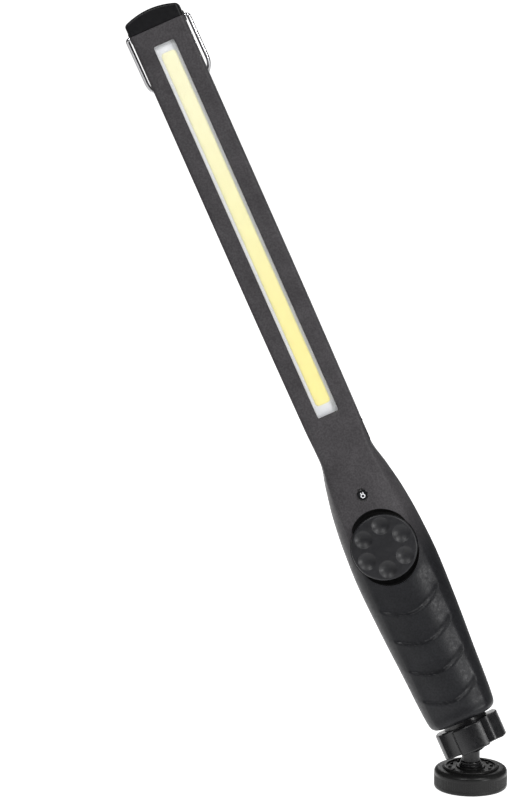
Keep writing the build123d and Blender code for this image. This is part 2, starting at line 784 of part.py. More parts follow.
with BuildPart() as lock_collar:
    with BuildSketch(Plane.XY.offset(collar_bottom)) as star:
        Circle(collar_diameter / 2)
        with PolarLocations(flute_centre, collar_lobes, start_angle=180 / collar_lobes):
            Circle(flute_radius, mode=Mode.SUBTRACT)
        fillet(star.vertices(), radius=lobe_corner)
    extrude(amount=collar_top - collar_bottom)
    for face in (lock_collar.faces().sort_by(Axis.Z)[-1], lock_collar.faces().sort_by(Axis.Z)[0]):
        fillet(face.edges(), radius=collar_edge)
    with BuildSketch(Plane.XY.offset(lip_top)):
        Circle(boss_diameter / 2 + collar_gap)
    extrude(amount=collar_top - lip_top, mode=Mode.SUBTRACT)
    Sphere(ball_diameter / 2 + ball_gap, mode=Mode.SUBTRACT)
    # Flared mouth that lets the stem lean over.
    with BuildSketch(Plane.XZ):
        with BuildLine():
            Polyline(
                (0, lip_edge),
                (lip_radius, lip_edge),
                (collar_mouth, collar_bottom),
                (collar_mouth, collar_bottom - 1),
                (0, collar_bottom - 1),
                close=True,
            )
        make_face()
    revolve(axis=Axis.Z, mode=Mode.SUBTRACT)
lock_collar.part.label = "lock_collar"
export_step(lock_collar.part.moved(lean), "parts/lock_collar.step")

stud_foot = 5.95
stud_flange = 10.95
flange_height = 1.3
tapped_diameter = 4.06
tapped_depth = 12.0
stud_screw_diameter = 4.0

with BuildPart() as ball_stud:
    with Locations((0, 0, ball_height)):
        Sphere(ball_diameter / 2)
    with BuildSketch(Plane.XY.offset(stud_flange)):
        Circle(stem_diameter / 2)
    extrude(amount=ball_height - stud_flange)
    with BuildSketch(Plane.XY.offset(stud_flange)):
        Circle(stem_diameter / 2 + 0.6)
    extrude(amount=flange_height)
    fillet(ball_stud.faces().filter_by(Plane.XY).sort_by(Axis.Z)[-1].outer_wire().edges(), radius=0.4)
    with BuildSketch(Plane.XY.offset(stud_foot)):
        Circle(journal_diameter / 2 - push_gap)
    extrude(amount=stud_flange - stud_foot)
    with BuildSketch(Plane.XY.offset(stud_foot)):
        Circle(tapped_diameter / 2)
    extrude(amount=tapped_depth, mode=Mode.SUBTRACT)
ball_stud.part.label = "ball_stud"
export_step(ball_stud.part, "parts/ball_stud.step")

washer_diameter = 10.2
washer_foot = plate_top + 0.1

with BuildPart() as stud_washer:
    with BuildSketch(Plane.XY.offset(washer_foot)):
        Circle(washer_diameter / 2)
        Circle(journal_diameter / 2, mode=Mode.SUBTRACT)
    extrude(amount=stud_flange - push_gap - washer_foot)
    fillet(stud_washer.faces().sort_by(Axis.Z)[-1].outer_wire().edges(), radius=0.25)
stud_washer.part.label = "stud_washer"
export_step(stud_washer.part, "parts/stud_washer.step")

stud_screw_seat = 5.2             # upper face of the head, under its washer
stud_screw_head = 7.0
stud_screw_head_height = 2.2
stud_screw_length = 11.5
hexagon_radius = 1.5
hexagon_depth = 1.4

with BuildPart() as stud_screw:
    with BuildSketch(Plane.XY.offset(stud_screw_seat - stud_screw_head_height)):
        Circle(stud_screw_head / 2)
    extrude(amount=stud_screw_head_height)
    with BuildSketch(Plane.XY.offset(stud_screw_seat)):
        Circle(stud_screw_diameter / 2)
    extrude(amount=stud_screw_length)
    with BuildSketch(Plane.XY.offset(stud_screw_seat - stud_screw_head_height)):
        RegularPolygon(hexagon_radius, 6)
    extrude(amount=hexagon_depth, mode=Mode.SUBTRACT)
stud_screw.part.label = "stud_screw"
export_step(stud_screw.part, "parts/stud_screw.step")

with BuildPart() as screw_washer:
    with BuildSketch(Plane.XY.offset(stud_screw_seat)):
        Circle(4.5)
        Circle(stud_screw_diameter / 2 + seat_gap, mode=Mode.SUBTRACT)
    extrude(amount=stud_foot - push_gap - stud_screw_seat)
screw_washer.part.label = "screw_washer"
export_step(screw_washer.part, "parts/screw_washer.step")

# ---------------------------------------------------------------- magnetic foot

foot_shoulder = 2.0               # rounding of the cup's upper and lower edges
foot_edge = 0.9
pot_foot = pad_thickness + 0.05
magnet_foot = pad_thickness + 0.1
pot_roof = pot_top - 1.2          # inner face of the steel pot's top

with BuildPart() as base_cup:
    with BuildSketch(Plane.XY.offset(foot_underside)):
        Circle(foot_diameter / 2)
    extrude(amount=foot_height - foot_underside)
    fillet(base_cup.faces().sort_by(Axis.Z)[-1].edges(), radius=foot_shoulder)
    fillet(base_cup.faces().sort_by(Axis.Z)[0].edges(), radius=foot_edge)
    with BuildSketch(Plane.XY.offset(foot_underside)):
        Circle(pot_diameter / 2 + seat_gap)
    extrude(amount=pot_top + push_gap - foot_underside, mode=Mode.SUBTRACT)
    with BuildSketch(Plane.XY.offset(plate_seat)):
        Circle(plate_diameter / 2 + 1.5 * seat_gap)
    extrude(amount=foot_height, mode=Mode.SUBTRACT)
    with BuildSketch(Plane.XY):
        Circle(journal_diameter / 2)
    extrude(amount=foot_height, mode=Mode.SUBTRACT)
base_cup.part.label = "base_cup"
export_step(base_cup.part, "parts/base_cup.step")

plate_chamfer = 0.5
ring_outer = plate_diameter / 2 - 1.8
ring_inner = plate_diameter / 2 - 4.6
ring_depth = 0.5

with BuildPart() as base_top_plate:
    with BuildSketch(Plane.XY.offset(plate_seat)):
        Circle(plate_diameter / 2)
    extrude(amount=plate_top - plate_seat)
    chamfer(base_top_plate.faces().sort_by(Axis.Z)[-1].edges(), length=plate_chamfer)
    # Shallow ring groove between the rim and the raised middle.
    with BuildSketch(Plane.XY.offset(plate_top - ring_depth)):
        Circle(ring_outer)
        Circle(ring_inner, mode=Mode.SUBTRACT)
    extrude(amount=2 * ring_depth, mode=Mode.SUBTRACT)
    with BuildSketch(Plane.XY.offset(plate_seat)):
        Circle(journal_diameter / 2)
    extrude(amount=plate_top, mode=Mode.SUBTRACT)
base_top_plate.part.label = "base_top_plate"
export_step(base_top_plate.part, "parts/base_top_plate.step")

with BuildPart() as steel_pot:
    with BuildSketch(Plane.XY.offset(pot_foot)):
        Circle(pot_diameter / 2)
    extrude(amount=pot_top - pot_foot)
    with BuildSketch(Plane.XY.offset(pot_foot)):
        Circle(magnet_diameter / 2 + seat_gap)
    extrude(amount=pot_roof - pot_foot, mode=Mode.SUBTRACT)
    with BuildSketch(Plane.XY):
        Circle(journal_diameter / 2)
    extrude(amount=foot_height, mode=Mode.SUBTRACT)
steel_pot.part.label = "steel_pot"
export_step(steel_pot.part, "parts/steel_pot.step")

with BuildPart() as ring_magnet:
    with BuildSketch(Plane.XY.offset(magnet_foot)):
        Circle(magnet_diameter / 2)
        Circle(magnet_hole / 2, mode=Mode.SUBTRACT)
    extrude(amount=pot_roof - push_gap - magnet_foot)
ring_magnet.part.label = "ring_magnet"
export_step(ring_magnet.part, "parts/ring_magnet.step")

with BuildPart() as rubber_foot:
    with BuildSketch(Plane.XY):
        Circle(pad_diameter / 2)
    extrude(amount=pad_thickness)
rubber_foot.part.label = "rubber_foot"
export_step(rubber_foot.part, "parts/rubber_foot.step")
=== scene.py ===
"""LED light wand on a magnetic ball-joint foot: the looks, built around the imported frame."""
import json
from math import asin, cos, exp, log, pi, radians, sin, sqrt, tan

import bpy
from mathutils import Matrix, Vector


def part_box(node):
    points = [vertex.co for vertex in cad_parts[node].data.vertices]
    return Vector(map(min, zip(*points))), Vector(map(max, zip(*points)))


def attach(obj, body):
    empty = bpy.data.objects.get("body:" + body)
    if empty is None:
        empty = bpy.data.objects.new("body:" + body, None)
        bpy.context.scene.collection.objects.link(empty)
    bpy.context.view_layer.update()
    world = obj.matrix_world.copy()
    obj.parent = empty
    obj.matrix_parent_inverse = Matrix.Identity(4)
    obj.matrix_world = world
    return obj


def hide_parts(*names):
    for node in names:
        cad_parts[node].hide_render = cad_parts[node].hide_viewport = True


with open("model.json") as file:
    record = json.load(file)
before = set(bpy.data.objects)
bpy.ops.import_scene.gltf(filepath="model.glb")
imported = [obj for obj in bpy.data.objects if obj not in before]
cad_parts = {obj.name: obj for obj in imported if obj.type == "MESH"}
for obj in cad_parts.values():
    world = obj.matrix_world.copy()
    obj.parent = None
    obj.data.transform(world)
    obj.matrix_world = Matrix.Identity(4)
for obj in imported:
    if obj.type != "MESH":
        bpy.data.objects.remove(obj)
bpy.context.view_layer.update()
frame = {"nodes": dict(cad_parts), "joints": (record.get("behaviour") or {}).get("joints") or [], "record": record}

MM = 0.001

# ---------------------------------------------------------------- places taken from the frame

joints = {joint["name"]: joint for joint in frame["joints"]}
ball = Vector(joints["ball_tilt"]["pos_m"])
lamp_up = Vector(joints["wand_twist"]["axis"])
lamp_right = Vector(joints["hook_swing"]["axis"])

# The wand's own frame: origin at the ball's centre, Z up the wand, front face towards -Y.
lamp = Matrix((lamp_right, lamp_up.cross(lamp_right), lamp_up)).transposed().to_4x4()
lamp.translation = ball
foot = Matrix.Identity(4)


def lamp_box(node):
    """Lowest and highest corner of a CAD node in the wand's own frame, in millimetres."""
    to_lamp = lamp.inverted()
    points = [to_lamp @ vertex.co / MM for vertex in frame["nodes"][node].data.vertices]
    low = Vector(min(point[axis] for point in points) for axis in range(3))
    high = Vector(max(point[axis] for point in points) for axis in range(3))
    return low, high


# ---------------------------------------------------------------- outlines and solids, in millimetres

def soft_step(value):
    """0 up to 0, 1 from 1 on, and a smooth rise between."""
    value = min(max(value, 0.0), 1.0)
    return value * value * (3 - 2 * value)


def spread(start, end, count):
    """Evenly spaced values from start to end, both included."""
    return [start + (end - start) * step / (count - 1) for step in range(count)]


def arc(centre, radius, start, end, steps=6):
    """Points on an arc, with its angles in degrees."""
    return [
        (centre[0] + radius * cos(radians(angle)), centre[1] + radius * sin(radians(angle)))
        for angle in spread(start, end, steps + 1)
    ]


def circle(radius, count=72, centre=(0.0, 0.0)):
    """Points on a circle, the first one not repeated."""
    return arc(centre, radius, 0, 360, count)[:-1]


def rounded_rectangle(width, height, corner, centre=(0.0, 0.0), steps=6):
    """Points round a rectangle with an arc at each corner."""
    points = []
    for turn, (side_u, side_v) in enumerate([(1, 1), (-1, 1), (-1, -1), (1, -1)]):
        middle = (
            centre[0] + side_u * (width / 2 - corner),
            centre[1] + side_v * (height / 2 - corner),
        )
        points += arc(middle, corner, 90 * turn, 90 * turn + 90, steps)
    return points


def along(axis, depth, outline):
    """An outline set across one axis: (y, z) across X, (x, z) across Y or (x, y) across Z."""
    if axis == "x":
        return [(depth, u, v) for u, v in outline]
    if axis == "y":
        return [(u, depth, v) for u, v in outline]
    return [(u, v, depth) for u, v in outline]


def skin(rings, looped=False):
    """A closed solid over a stack of rings; looped joins the last ring to the first, as in a tube."""
    count = len(rings[0])
    vertices = [point for ring in rings for point in ring]
    faces = []
    for level in range(len(rings) if looped else len(rings) - 1):
        lower = level * count
        upper = (level + 1) % len(rings) * count
        for step in range(count):
            after = (step + 1) % count
            faces.append((lower + step, lower + after, upper + after, upper + step))
    if not looped:
        faces.append(tuple(reversed(range(count))))
        faces.append(tuple(range(len(vertices) - count, len(vertices))))
    return vertices, faces


def revolve(profile, count=96, change=None):
    """A solid turned about Z from a closed profile of (radius, height); change alters a radius."""
    rings = []
    for radius, height in profile:
        ring = []
        for step in range(count):
            angle = 2 * pi * step / count
            reach = radius + (change(angle, radius, height) if change else 0.0)
            ring.append((reach * cos(angle), reach * sin(angle), height))
        rings.append(ring)
    return skin(rings, looped=True)


def rounded_path(points, radii, steps=10):
    """The route through the points, with an arc of the given radius at each inner one."""
    route = [Vector(points[0])]
    for before, corner, after, radius in zip(points, points[1:], points[2:], radii):
        corner = Vector(corner)
        back = (Vector(before) - corner).normalized()
        ahead = (Vector(after) - corner).normalized()
        half = back.angle(ahead) / 2
        reach = radius / tan(half)
        middle = corner + (back + ahead).normalized() * (radius / sin(half))
        start = corner + back * reach - middle
        end = corner + ahead * reach - middle
        turn = start.angle(end)
        for step in range(steps + 1):
            share = step / steps
            route.append(
                middle + (sin((1 - share) * turn) * start + sin(share * turn) * end) / sin(turn)
            )
    route.append(Vector(points[-1]))
    return route


def tube(route, radius, sides=20):
    """Rings of a round wire along a route, carried along without twisting."""
    direction = (route[1] - route[0]).normalized()
    across = direction.orthogonal().normalized()
    rings = []
    for index, point in enumerate(route):
        before = route[max(index - 1, 0)]
        after = route[min(index + 1, len(route) - 1)]
        direction = (after - before).normalized()
        across = (across - direction * across.dot(direction)).normalized()
        other = direction.cross(across)
        rings.append([
            tuple(point + radius * (cos(angle) * across + sin(angle) * other))
            for angle in spread(0, 2 * pi, sides + 1)[:-1]
        ])
    return rings


def new_object(name, vertices, faces, place):
    """A mesh object from millimetres in the wand's or the foot's frame."""
    mesh = bpy.data.meshes.new(name)
    mesh.from_pydata([place @ (MM * Vector(vertex)) for vertex in vertices], [], faces)
    mesh.update()
    made = bpy.data.objects.new(name, mesh)
    bpy.context.scene.collection.objects.link(made)
    return made


def applied(piece):
    """Turns the piece's modifiers into its mesh."""
    depsgraph = bpy.context.evaluated_depsgraph_get()
    mesh = bpy.data.meshes.new_from_object(piece.evaluated_get(depsgraph))
    mesh.name = piece.name
    piece.modifiers.clear()
    piece.data = mesh


def combine_objects(piece, operation, tools):
    """Cuts other objects out of the piece, joins them to it or keeps what they share."""
    for tool in tools:
        modifier = piece.modifiers.new("combine", "BOOLEAN")
        modifier.operation = operation
        modifier.solver = "EXACT"
        modifier.object = tool
    applied(piece)
    for tool in tools:
        bpy.data.objects.remove(tool)


def combine(piece, operation, solids, place):
    """The same with solids given in millimetres."""
    combine_objects(piece, operation, [new_object("tool", *solid, place) for solid in solids])


SHARP_ANGLE = radians(34)


def finish_piece(piece, body, material, replaced=()):
    """Shades the piece, gives it its finish and sets it on its body."""
    mesh = piece.data
    mesh.polygons.foreach_set("use_smooth", [True] * len(mesh.polygons))
    mesh.set_sharp_from_angle(angle=SHARP_ANGLE)
    normals = piece.modifiers.new("normals", "WEIGHTED_NORMAL")
    normals.keep_sharp = True
    mesh.materials.clear()
    mesh.materials.append(material)
    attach(piece, body)
    if replaced:
        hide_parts(*replaced)


# ---------------------------------------------------------------- materials

def node_material(name):
    """A new material, its node tree and its main shader."""
    material = bpy.data.materials.new(name)
    material.use_nodes = True
    tree = material.node_tree
    return material, tree, tree.nodes["Principled BSDF"]


def noise(tree, scale, detail=3.0, roughness=0.55):
    """Three-dimensional noise in the object's own coordinates; scale is features per metre."""
    place = tree.nodes.new("ShaderNodeTexCoord")
    texture = tree.nodes.new("ShaderNodeTexNoise")
    texture.inputs["Scale"].default_value = scale
    texture.inputs["Detail"].default_value = detail
    texture.inputs["Roughness"].default_value = roughness
    tree.links.new(place.outputs["Object"], texture.inputs["Vector"])
    return texture.outputs["Fac"]


def ramp(tree, value, stops):
    """A colour ramp of (position, colour) stops."""
    node = tree.nodes.new("ShaderNodeValToRGB")
    elements = node.color_ramp.elements
    elements[0].position, elements[1].position = stops[0][0], stops[-1][0]
    elements[0].color, elements[1].color = (*stops[0][1], 1), (*stops[-1][1], 1)
    for position, colour in stops[1:-1]:
        elements.new(position).color = (*colour, 1)
    tree.links.new(value, node.inputs["Fac"])
    return node.outputs["Color"]


def mapped(tree, value, low, high):
    """Noise brought to a range."""
    node = tree.nodes.new("ShaderNodeMapRange")
    node.inputs["From Min"].default_value = 0.3
    node.inputs["From Max"].default_value = 0.7
    node.inputs["To Min"].default_value = low
    node.inputs["To Max"].default_value = high
    tree.links.new(value, node.inputs["Value"])
    return node.outputs["Result"]


def surface(name, colour, roughness, patch=90, grain=2600, depth=0.02, variation=0.18,
            rough_variation=0.08, fixed=None):
    """A finish with uneven colour, uneven gloss and a fine grain.

    patch and grain are features per metre, depth is the grain's height in millimetres and
    fixed holds other shader values that are the same all over.
    """
    material, tree, shader = node_material(name)
    dark = tuple(part * (1 - variation) for part in colour)
    light = tuple(min(part * (1 + variation), 1.0) for part in colour)
    broad = noise(tree, patch, 4.0)
    tree.links.new(ramp(tree, broad, [(0.3, dark), (0.7, light)]), shader.inputs["Base Color"])
    fine = noise(tree, patch * 7, 3.0)
    low, high = max(roughness - rough_variation, 0.03), min(roughness + rough_variation, 1.0)
    tree.links.new(mapped(tree, fine, low, high), shader.inputs["Roughness"])
    bump = tree.nodes.new("ShaderNodeBump")
    bump.inputs["Strength"].default_value = 1.0
    bump.inputs["Distance"].default_value = depth * MM
    tree.links.new(noise(tree, grain, 2.0, 0.6), bump.inputs["Height"])
    tree.links.new(bump.outputs["Normal"], shader.inputs["Normal"])
    for socket, value in (fixed or {}).items():
        shader.inputs[socket].default_value = value
    return material


def metal(name, colour, roughness, **detail):
    """The same with a metal shader."""
    detail.setdefault("fixed", {})["Metallic"] = 1.0
    return surface(name, colour, roughness, **detail)


def wand_height(tree, low, high):
    """0 to 1 between two heights up the wand, in millimetres."""
    place = tree.nodes.new("ShaderNodeTexCoord")
    height = tree.nodes.new("ShaderNodeVectorMath")
    height.operation = "DOT_PRODUCT"
    height.inputs[1].default_value = tuple(lamp_up)
    tree.links.new(place.outputs["Object"], height.inputs[0])
    share = tree.nodes.new("ShaderNodeMapRange")
    share.interpolation_type = "SMOOTHSTEP"
    for socket, value in (("From Min", low), ("From Max", high)):
        share.inputs[socket].default_value = (lamp @ Vector((0, 0, MM * value))).dot(lamp_up)
    tree.links.new(height.outputs["Value"], share.inputs["Value"])
    return share.outputs["Result"]


def mixed(tree, blend, factor, first, second):
    """Two colours mixed by one of the shader's blend modes."""
    node = tree.nodes.new("ShaderNodeMix")
    node.data_type = "RGBA"
    node.blend_type = blend
    node.inputs["Factor"].default_value = factor
    tree.links.new(first, node.inputs["A"])
    tree.links.new(second, node.inputs["B"])
    return node.outputs["Result"]


PHOSPHOR_GLOW = 0.66
# Painted reflection: the shell's colour lightens between these heights, standing in for a softbox's reflection on
# the head.
PAINTED_REFLECTION_HEIGHTS = (78, 110)     # heights between which the grip's tone gives way to the head's


def phosphor(low, high):
    """Glowing silicone: cream towards the head, yellower towards the grip."""
    material, tree, shader = node_material("phosphor_glow")
    glow = ramp(tree, wand_height(tree, low, high), [
        (0.0, (0.67, 0.59, 0.17)),
        (0.55, (0.65, 0.61, 0.30)),
        (1.0, (0.66, 0.63, 0.40)),
    ])
    mottle = ramp(tree, noise(tree, 420, 3.0), [(0.3, (0.93, 0.93, 0.90)), (0.7, (1, 1, 1))])
    colour = mixed(tree, "MULTIPLY", 1.0, glow, mottle)
    tree.links.new(colour, shader.inputs["Base Color"])
    tree.links.new(colour, shader.inputs["Emission Color"])
    shader.inputs["Emission Strength"].default_value = PHOSPHOR_GLOW
    tree.links.new(mapped(tree, noise(tree, 900), 0.3, 0.5), shader.inputs["Roughness"])
    bump = tree.nodes.new("ShaderNodeBump")
    bump.inputs["Distance"].default_value = 0.03 * MM
    tree.links.new(noise(tree, 1500), bump.inputs["Height"])
    tree.links.new(bump.outputs["Normal"], shader.inputs["Normal"])
    return material


def clear_lens():
    """Clear acrylic: almost all of the light goes straight through."""
    material = surface("clear_acrylic", (0.95, 0.97, 0.97), 0.06, patch=60, grain=300,
                       depth=0.004, variation=0.02, rough_variation=0.03)
    material.node_tree.nodes["Principled BSDF"].inputs["Alpha"].default_value = 0.10
    return material


def shell_plastic():
    """Matt spark-textured plastic, darker on the grip and lighter on the head, where the lighter colour is a
    painted reflection of a softbox in front.
    """
    material = surface("shell_plastic", (0.85, 0.83, 0.85), 0.36, grain=2300, depth=0.03,
                       variation=0.15, fixed={"Specular IOR Level": 0.16})
    tree = material.node_tree
    shader = tree.nodes["Principled BSDF"]
    mottle = shader.inputs["Base Color"].links[0].from_socket
    # Painted reflection: dark on the grip and lighter on the head, in place of a softbox's reflection there.
    painted_reflection_tone = ramp(tree, wand_height(tree, *PAINTED_REFLECTION_HEIGHTS), [
        (0.0, (0.021, 0.022, 0.024)),
        (1.0, (0.088, 0.085, 0.088)),
    ])
    speck = ramp(tree, noise(tree, 1300, 1.0), [(0.35, (0.72, 0.72, 0.72)), (0.65, (1, 1, 1))])
    colour = mixed(tree, "MULTIPLY", 1.0, mixed(tree, "MULTIPLY", 1.0, painted_reflection_tone, mottle), speck)
    tree.links.new(colour, shader.inputs["Base Color"])
    return material


strip_low, strip_high = lamp_box("led_strip")

finishes = {
    "shell_black": shell_plastic(),
    "cap_black": surface("cap_plastic", (0.007, 0.007, 0.008), 0.36, grain=2300, depth=0.02,
                         fixed={"Specular IOR Level": 0.25}),
    "dial_black": surface("dial_plastic", (0.017, 0.017, 0.019), 0.40, grain=3200, depth=0.012,
                          fixed={"Specular IOR Level": 0.35}),
    "collar_black": surface("collar_plastic", (0.009, 0.009, 0.010), 0.27, grain=350,
                            depth=0.003, fixed={"Specular IOR Level": 0.4}),
    "foot_black": surface("foot_paint", (0.010, 0.010, 0.010), 0.32, grain=2600, depth=0.015,
                          fixed={"Specular IOR Level": 0.2}),
    "rubber_black": surface("rubber", (0.022, 0.022, 0.023), 0.72, grain=2000, depth=0.03),
    # Painted shade: near-black finish for the cup in the dial's pocket, standing in for the shadow there.
    "pocket_shade_black": surface("pocket_painted_shade", (0.003, 0.003, 0.003), 0.85, grain=2000, depth=0.02,
                           fixed={"Specular IOR Level": 0.15}),
    "nylon_white": surface("nylon", (0.75, 0.74, 0.70), 0.45, variation=0.04),
    "wire_chrome": metal("chrome", (0.80, 0.80, 0.82), 0.10, grain=1500, depth=0.002,
                         variation=0.05, rough_variation=0.05),
    "bush_black": surface("bush_nylon", (0.014, 0.014, 0.015), 0.42, depth=0.008),
    "lens_clear": clear_lens(),
    "phosphor": phosphor(strip_low.z, strip_high.z),
    "board_white": surface("white_board", (0.90, 0.91, 0.94), 0.40, variation=0.04, depth=0.006),
    "aluminium": metal("aluminium", (0.72, 0.73, 0.75), 0.32, depth=0.006, variation=0.08),
    "steel": metal("zinc_steel", (0.50, 0.51, 0.53), 0.30, depth=0.006, variation=0.14),
    "stud_black": surface("black_oxide", (0.010, 0.010, 0.011), 0.30, grain=1800, depth=0.008,
                          fixed={"Specular IOR Level": 0.4}),
    "magnet_nickel": metal("nickel", (0.60, 0.58, 0.54), 0.24, depth=0.003, variation=0.06),
    "cell_wrap": surface("cell_sleeve", (0.03, 0.16, 0.42), 0.28, grain=700, depth=0.01),
    "lead_red": surface("silicone_red", (0.45, 0.02, 0.015), 0.50, grain=1800, depth=0.006),
    "board_green": surface("solder_mask", (0.02, 0.17, 0.06), 0.30, grain=1100, depth=0.012),
    "chip_black": surface("moulded_chip", (0.020, 0.020, 0.021), 0.55, grain=3000, depth=0.01),
    "indicator_smoke": surface("smoked_lens", (0.008, 0.008, 0.009), 0.14, grain=500,
                               depth=0.003, rough_variation=0.05),
}

for row in frame["record"]["subparts"]:
    node = frame["nodes"][row["node"]]
    node.data.materials.clear()
    node.data.materials.append(finishes[row["material_slot"]])

# ---------------------------------------------------------------- wand: the moulded form

# Stations up the wand: height, width, depth, bulge (0 flat sides, 1 an ellipse), corner radius.
STATIONS = [
    (7.7, 24.6, 20.0, 0.78, 4.4),
    (8.1, 27.4, 22.8, 0.78, 4.8),
    (9.2, 29.6, 25.0, 0.78, 5.2),
    (11.0, 30.8, 26.2, 0.78, 5.5),
    (17.0, 32.0, 27.2, 0.78, 5.5),
    (36.0, 34.0, 28.2, 0.82, 6.0),
    (58.0, 36.5, 29.2, 0.85, 6.5),
    (80.0, 37.9, 29.8, 0.85, 6.5),
    (97.0, 36.5, 29.2, 0.85, 6.5),
    (111.0, 33.7, 27.2, 0.75, 6.0),
    (124.0, 29.0, 23.6, 0.50, 4.5),
    (136.0, 24.2, 20.4, 0.16, 2.6),
    (152.0, 24.7, 20.0, 0.03, 1.6),
    (224.0, 25.4, 20.0, 0.03, 1.6),
    (337.2, 25.4, 20.0, 0.03, 1.6),
]
FOOT_END = STATIONS[0][0]
SEAM = STATIONS[-1][0]
WALL = 1.8
PARTING = -1.0              # the shells meet on this plane, a little in front of the axis
ELLIPSE_SHARE = 1 - sqrt(0.5)
GROOVE = 0.28               # depth and half width of the line where the shells meet

# Finger ribs down the front of the grip.
RIB_TOP = 59.8              # crest of the top rib on the centre line
RIB_PITCH = 14.2
RIB_DEPTH = 1.1
RIB_LIFT = 3.7              # the rib's ends curve up by this much ...
RIB_HALF = 11.4             # ... at this distance from the centre line
RIB_FADE = (9.5, 16.5)      # the rib runs out between these distances
RIB_EDGE = (0.09, 0.22)     # share of the pitch that the steep side takes, left and right,
RIB_EDGE_ACROSS = (-2.0, 9.0)   # changing from one to the other between these places
RIB_SWELL = 1.4             # above 1, the long side of a rib is hollow rather than straight
RIB_CLEAR = (1.5, 6.0)      # the ribs start this far above the lower end and take this far to rise


def slopes(column):
    """Slopes of a smooth curve through one column of the stations, with no overshoot."""
    heights = [station[0] for station in STATIONS]
    values = [station[column] for station in STATIONS]
    steps = [
        (values[k + 1] - values[k]) / (heights[k + 1] - heights[k]) for k in range(len(values) - 1)
    ]
    inner = [
        0.0 if before * after <= 0 else 2 * before * after / (before + after)
        for before, after in zip(steps, steps[1:])
    ]
    return [steps[0], *inner, steps[-1]]


STATION_SLOPES = [None] + [slopes(column) for column in range(1, 5)]


def section_at(height):
    """Width, depth, bulge and corner radius at a height."""
    upper = next((k for k, station in enumerate(STATIONS) if station[0] >= height), -1)
    upper = len(STATIONS) - 1 if upper < 0 else max(upper, 1)
    low, high = STATIONS[upper - 1], STATIONS[upper]
    length = high[0] - low[0]
    t = min(max((height - low[0]) / length, 0.0), 1.0)
    values = []
    for column in range(1, 5):
        slope = STATION_SLOPES[column]
        values.append(
            (2 * t**3 - 3 * t**2 + 1) * low[column]
            + (t**3 - 2 * t**2 + t) * length * slope[upper - 1]
            + (3 * t**2 - 2 * t**3) * high[column]
            + (t**3 - t**2) * length * slope[upper]
        )
    return values


def half_outline(height, side, start, inset=0.0, groove=0.0):
    """The outline from the +X side round the front (side -1) or the back (side 1) to the -X side.

    It starts and ends at y = start, where it may be drawn in to leave a groove.
    """
    width, depth, bulge, corner = section_at(height)
    half_width, half_depth = width / 2 - inset, depth / 2 - inset
    corner_x = half_width * (1 - ELLIPSE_SHARE * bulge)
    corner_y = half_depth * (1 - ELLIPSE_SHARE * bulge)
    rise_y, rise_x = half_depth - corner_y, half_width - corner_x
    radius_y = (corner_x**2 + rise_y**2) / (2 * rise_y)
    radius_x = (corner_y**2 + rise_x**2) / (2 * rise_x)
    angle_y, angle_x = asin(corner_x / radius_y), asin(corner_y / radius_x)
    turn = pi / 2 - angle_y - angle_x
    trim = max(corner - inset, 0.6) * tan(turn / 2)
    angle_y -= trim / radius_y
    angle_x -= trim / radius_x
    first = asin(side * start / radius_x)

    def on_side(angle):
        return half_width - radius_x + radius_x * cos(angle), side * radius_x * sin(angle)

    def on_face(angle):
        return radius_y * sin(angle), side * (half_depth - radius_y + radius_y * cos(angle))

    flank = [on_side(angle) for angle in spread(first + GROOVE / radius_x, angle_x, 8)]
    edge_x, edge_y = on_side(first)
    bend = []
    bend_start, bend_end = Vector(on_side(angle_x)), Vector(on_face(angle_y))
    middle = Vector((corner_x, side * corner_y))
    weight = cos(turn / 2)
    for t in spread(0, 1, 8)[1:-1]:
        near, mid, far = (1 - t) ** 2, 2 * weight * t * (1 - t), t * t
        bend.append(tuple((near * bend_start + mid * middle + far * bend_end) / (near + mid + far)))
    right = [(edge_x - groove, edge_y), *flank, *bend]
    face = [on_face(angle) for angle in spread(angle_y, -angle_y, 45)]
    return [*right, *face, *[(-x, y) for x, y in reversed(right)]]


def rib_cut(x, height):
    """How far the front of the grip is drawn in by the finger ribs at a point."""
    level = height - RIB_LIFT * (x / RIB_HALF) ** 2
    down = (RIB_TOP - level) / RIB_PITCH
    if down < -1:
        return 0.0
    share = down % 1.0
    across = (x - RIB_EDGE_ACROSS[0]) / (RIB_EDGE_ACROSS[1] - RIB_EDGE_ACROSS[0])
    edge = RIB_EDGE[0] + (RIB_EDGE[1] - RIB_EDGE[0]) * soft_step(across)
    if share < 1 - edge:
        ridge = (1 - share / (1 - edge)) ** RIB_SWELL
    else:
        ridge = soft_step((share - 1 + edge) / edge)
    fade = 1 - soft_step((abs(x) - RIB_FADE[0]) / (RIB_FADE[1] - RIB_FADE[0]))
    foot_fade = soft_step((height - FOOT_END - RIB_CLEAR[0]) / RIB_CLEAR[1])
    return RIB_DEPTH * (1 - ridge) * fade * foot_fade


def half_solid(side, inset=0.0, bottom=FOOT_END, top=SEAM, overrun=0.0):
    """The wand's form in front of the parting plane or behind it, as one closed solid."""
    heights = [FOOT_END, 7.9, 8.1, 8.4, 8.8, 9.2, 9.8, 10.4]
    heights += spread(11.0, 78.0, 118)
    heights += spread(79.5, 152.0, 50)
    heights += spread(158.0, SEAM, 30)
    heights = [bottom] + [height for height in heights if bottom < height < top] + [top]
    rings = []
    for height in heights:
        groove = GROOVE if inset == 0.0 else 0.0
        outline = half_outline(height, side, PARTING, inset, groove)
        if inset == 0.0 and side < 0:
            outline = [(x, y + rib_cut(x, height)) for x, y in outline]
        if overrun:
            (end_x, end_y) = outline[0]
            past = end_y - side * overrun
            outline = [(end_x, past), *outline, (-end_x, past)]
        rings.append(along("z", height, outline))
    return skin(rings)


# ---------------------------------------------------------------- wand: shells

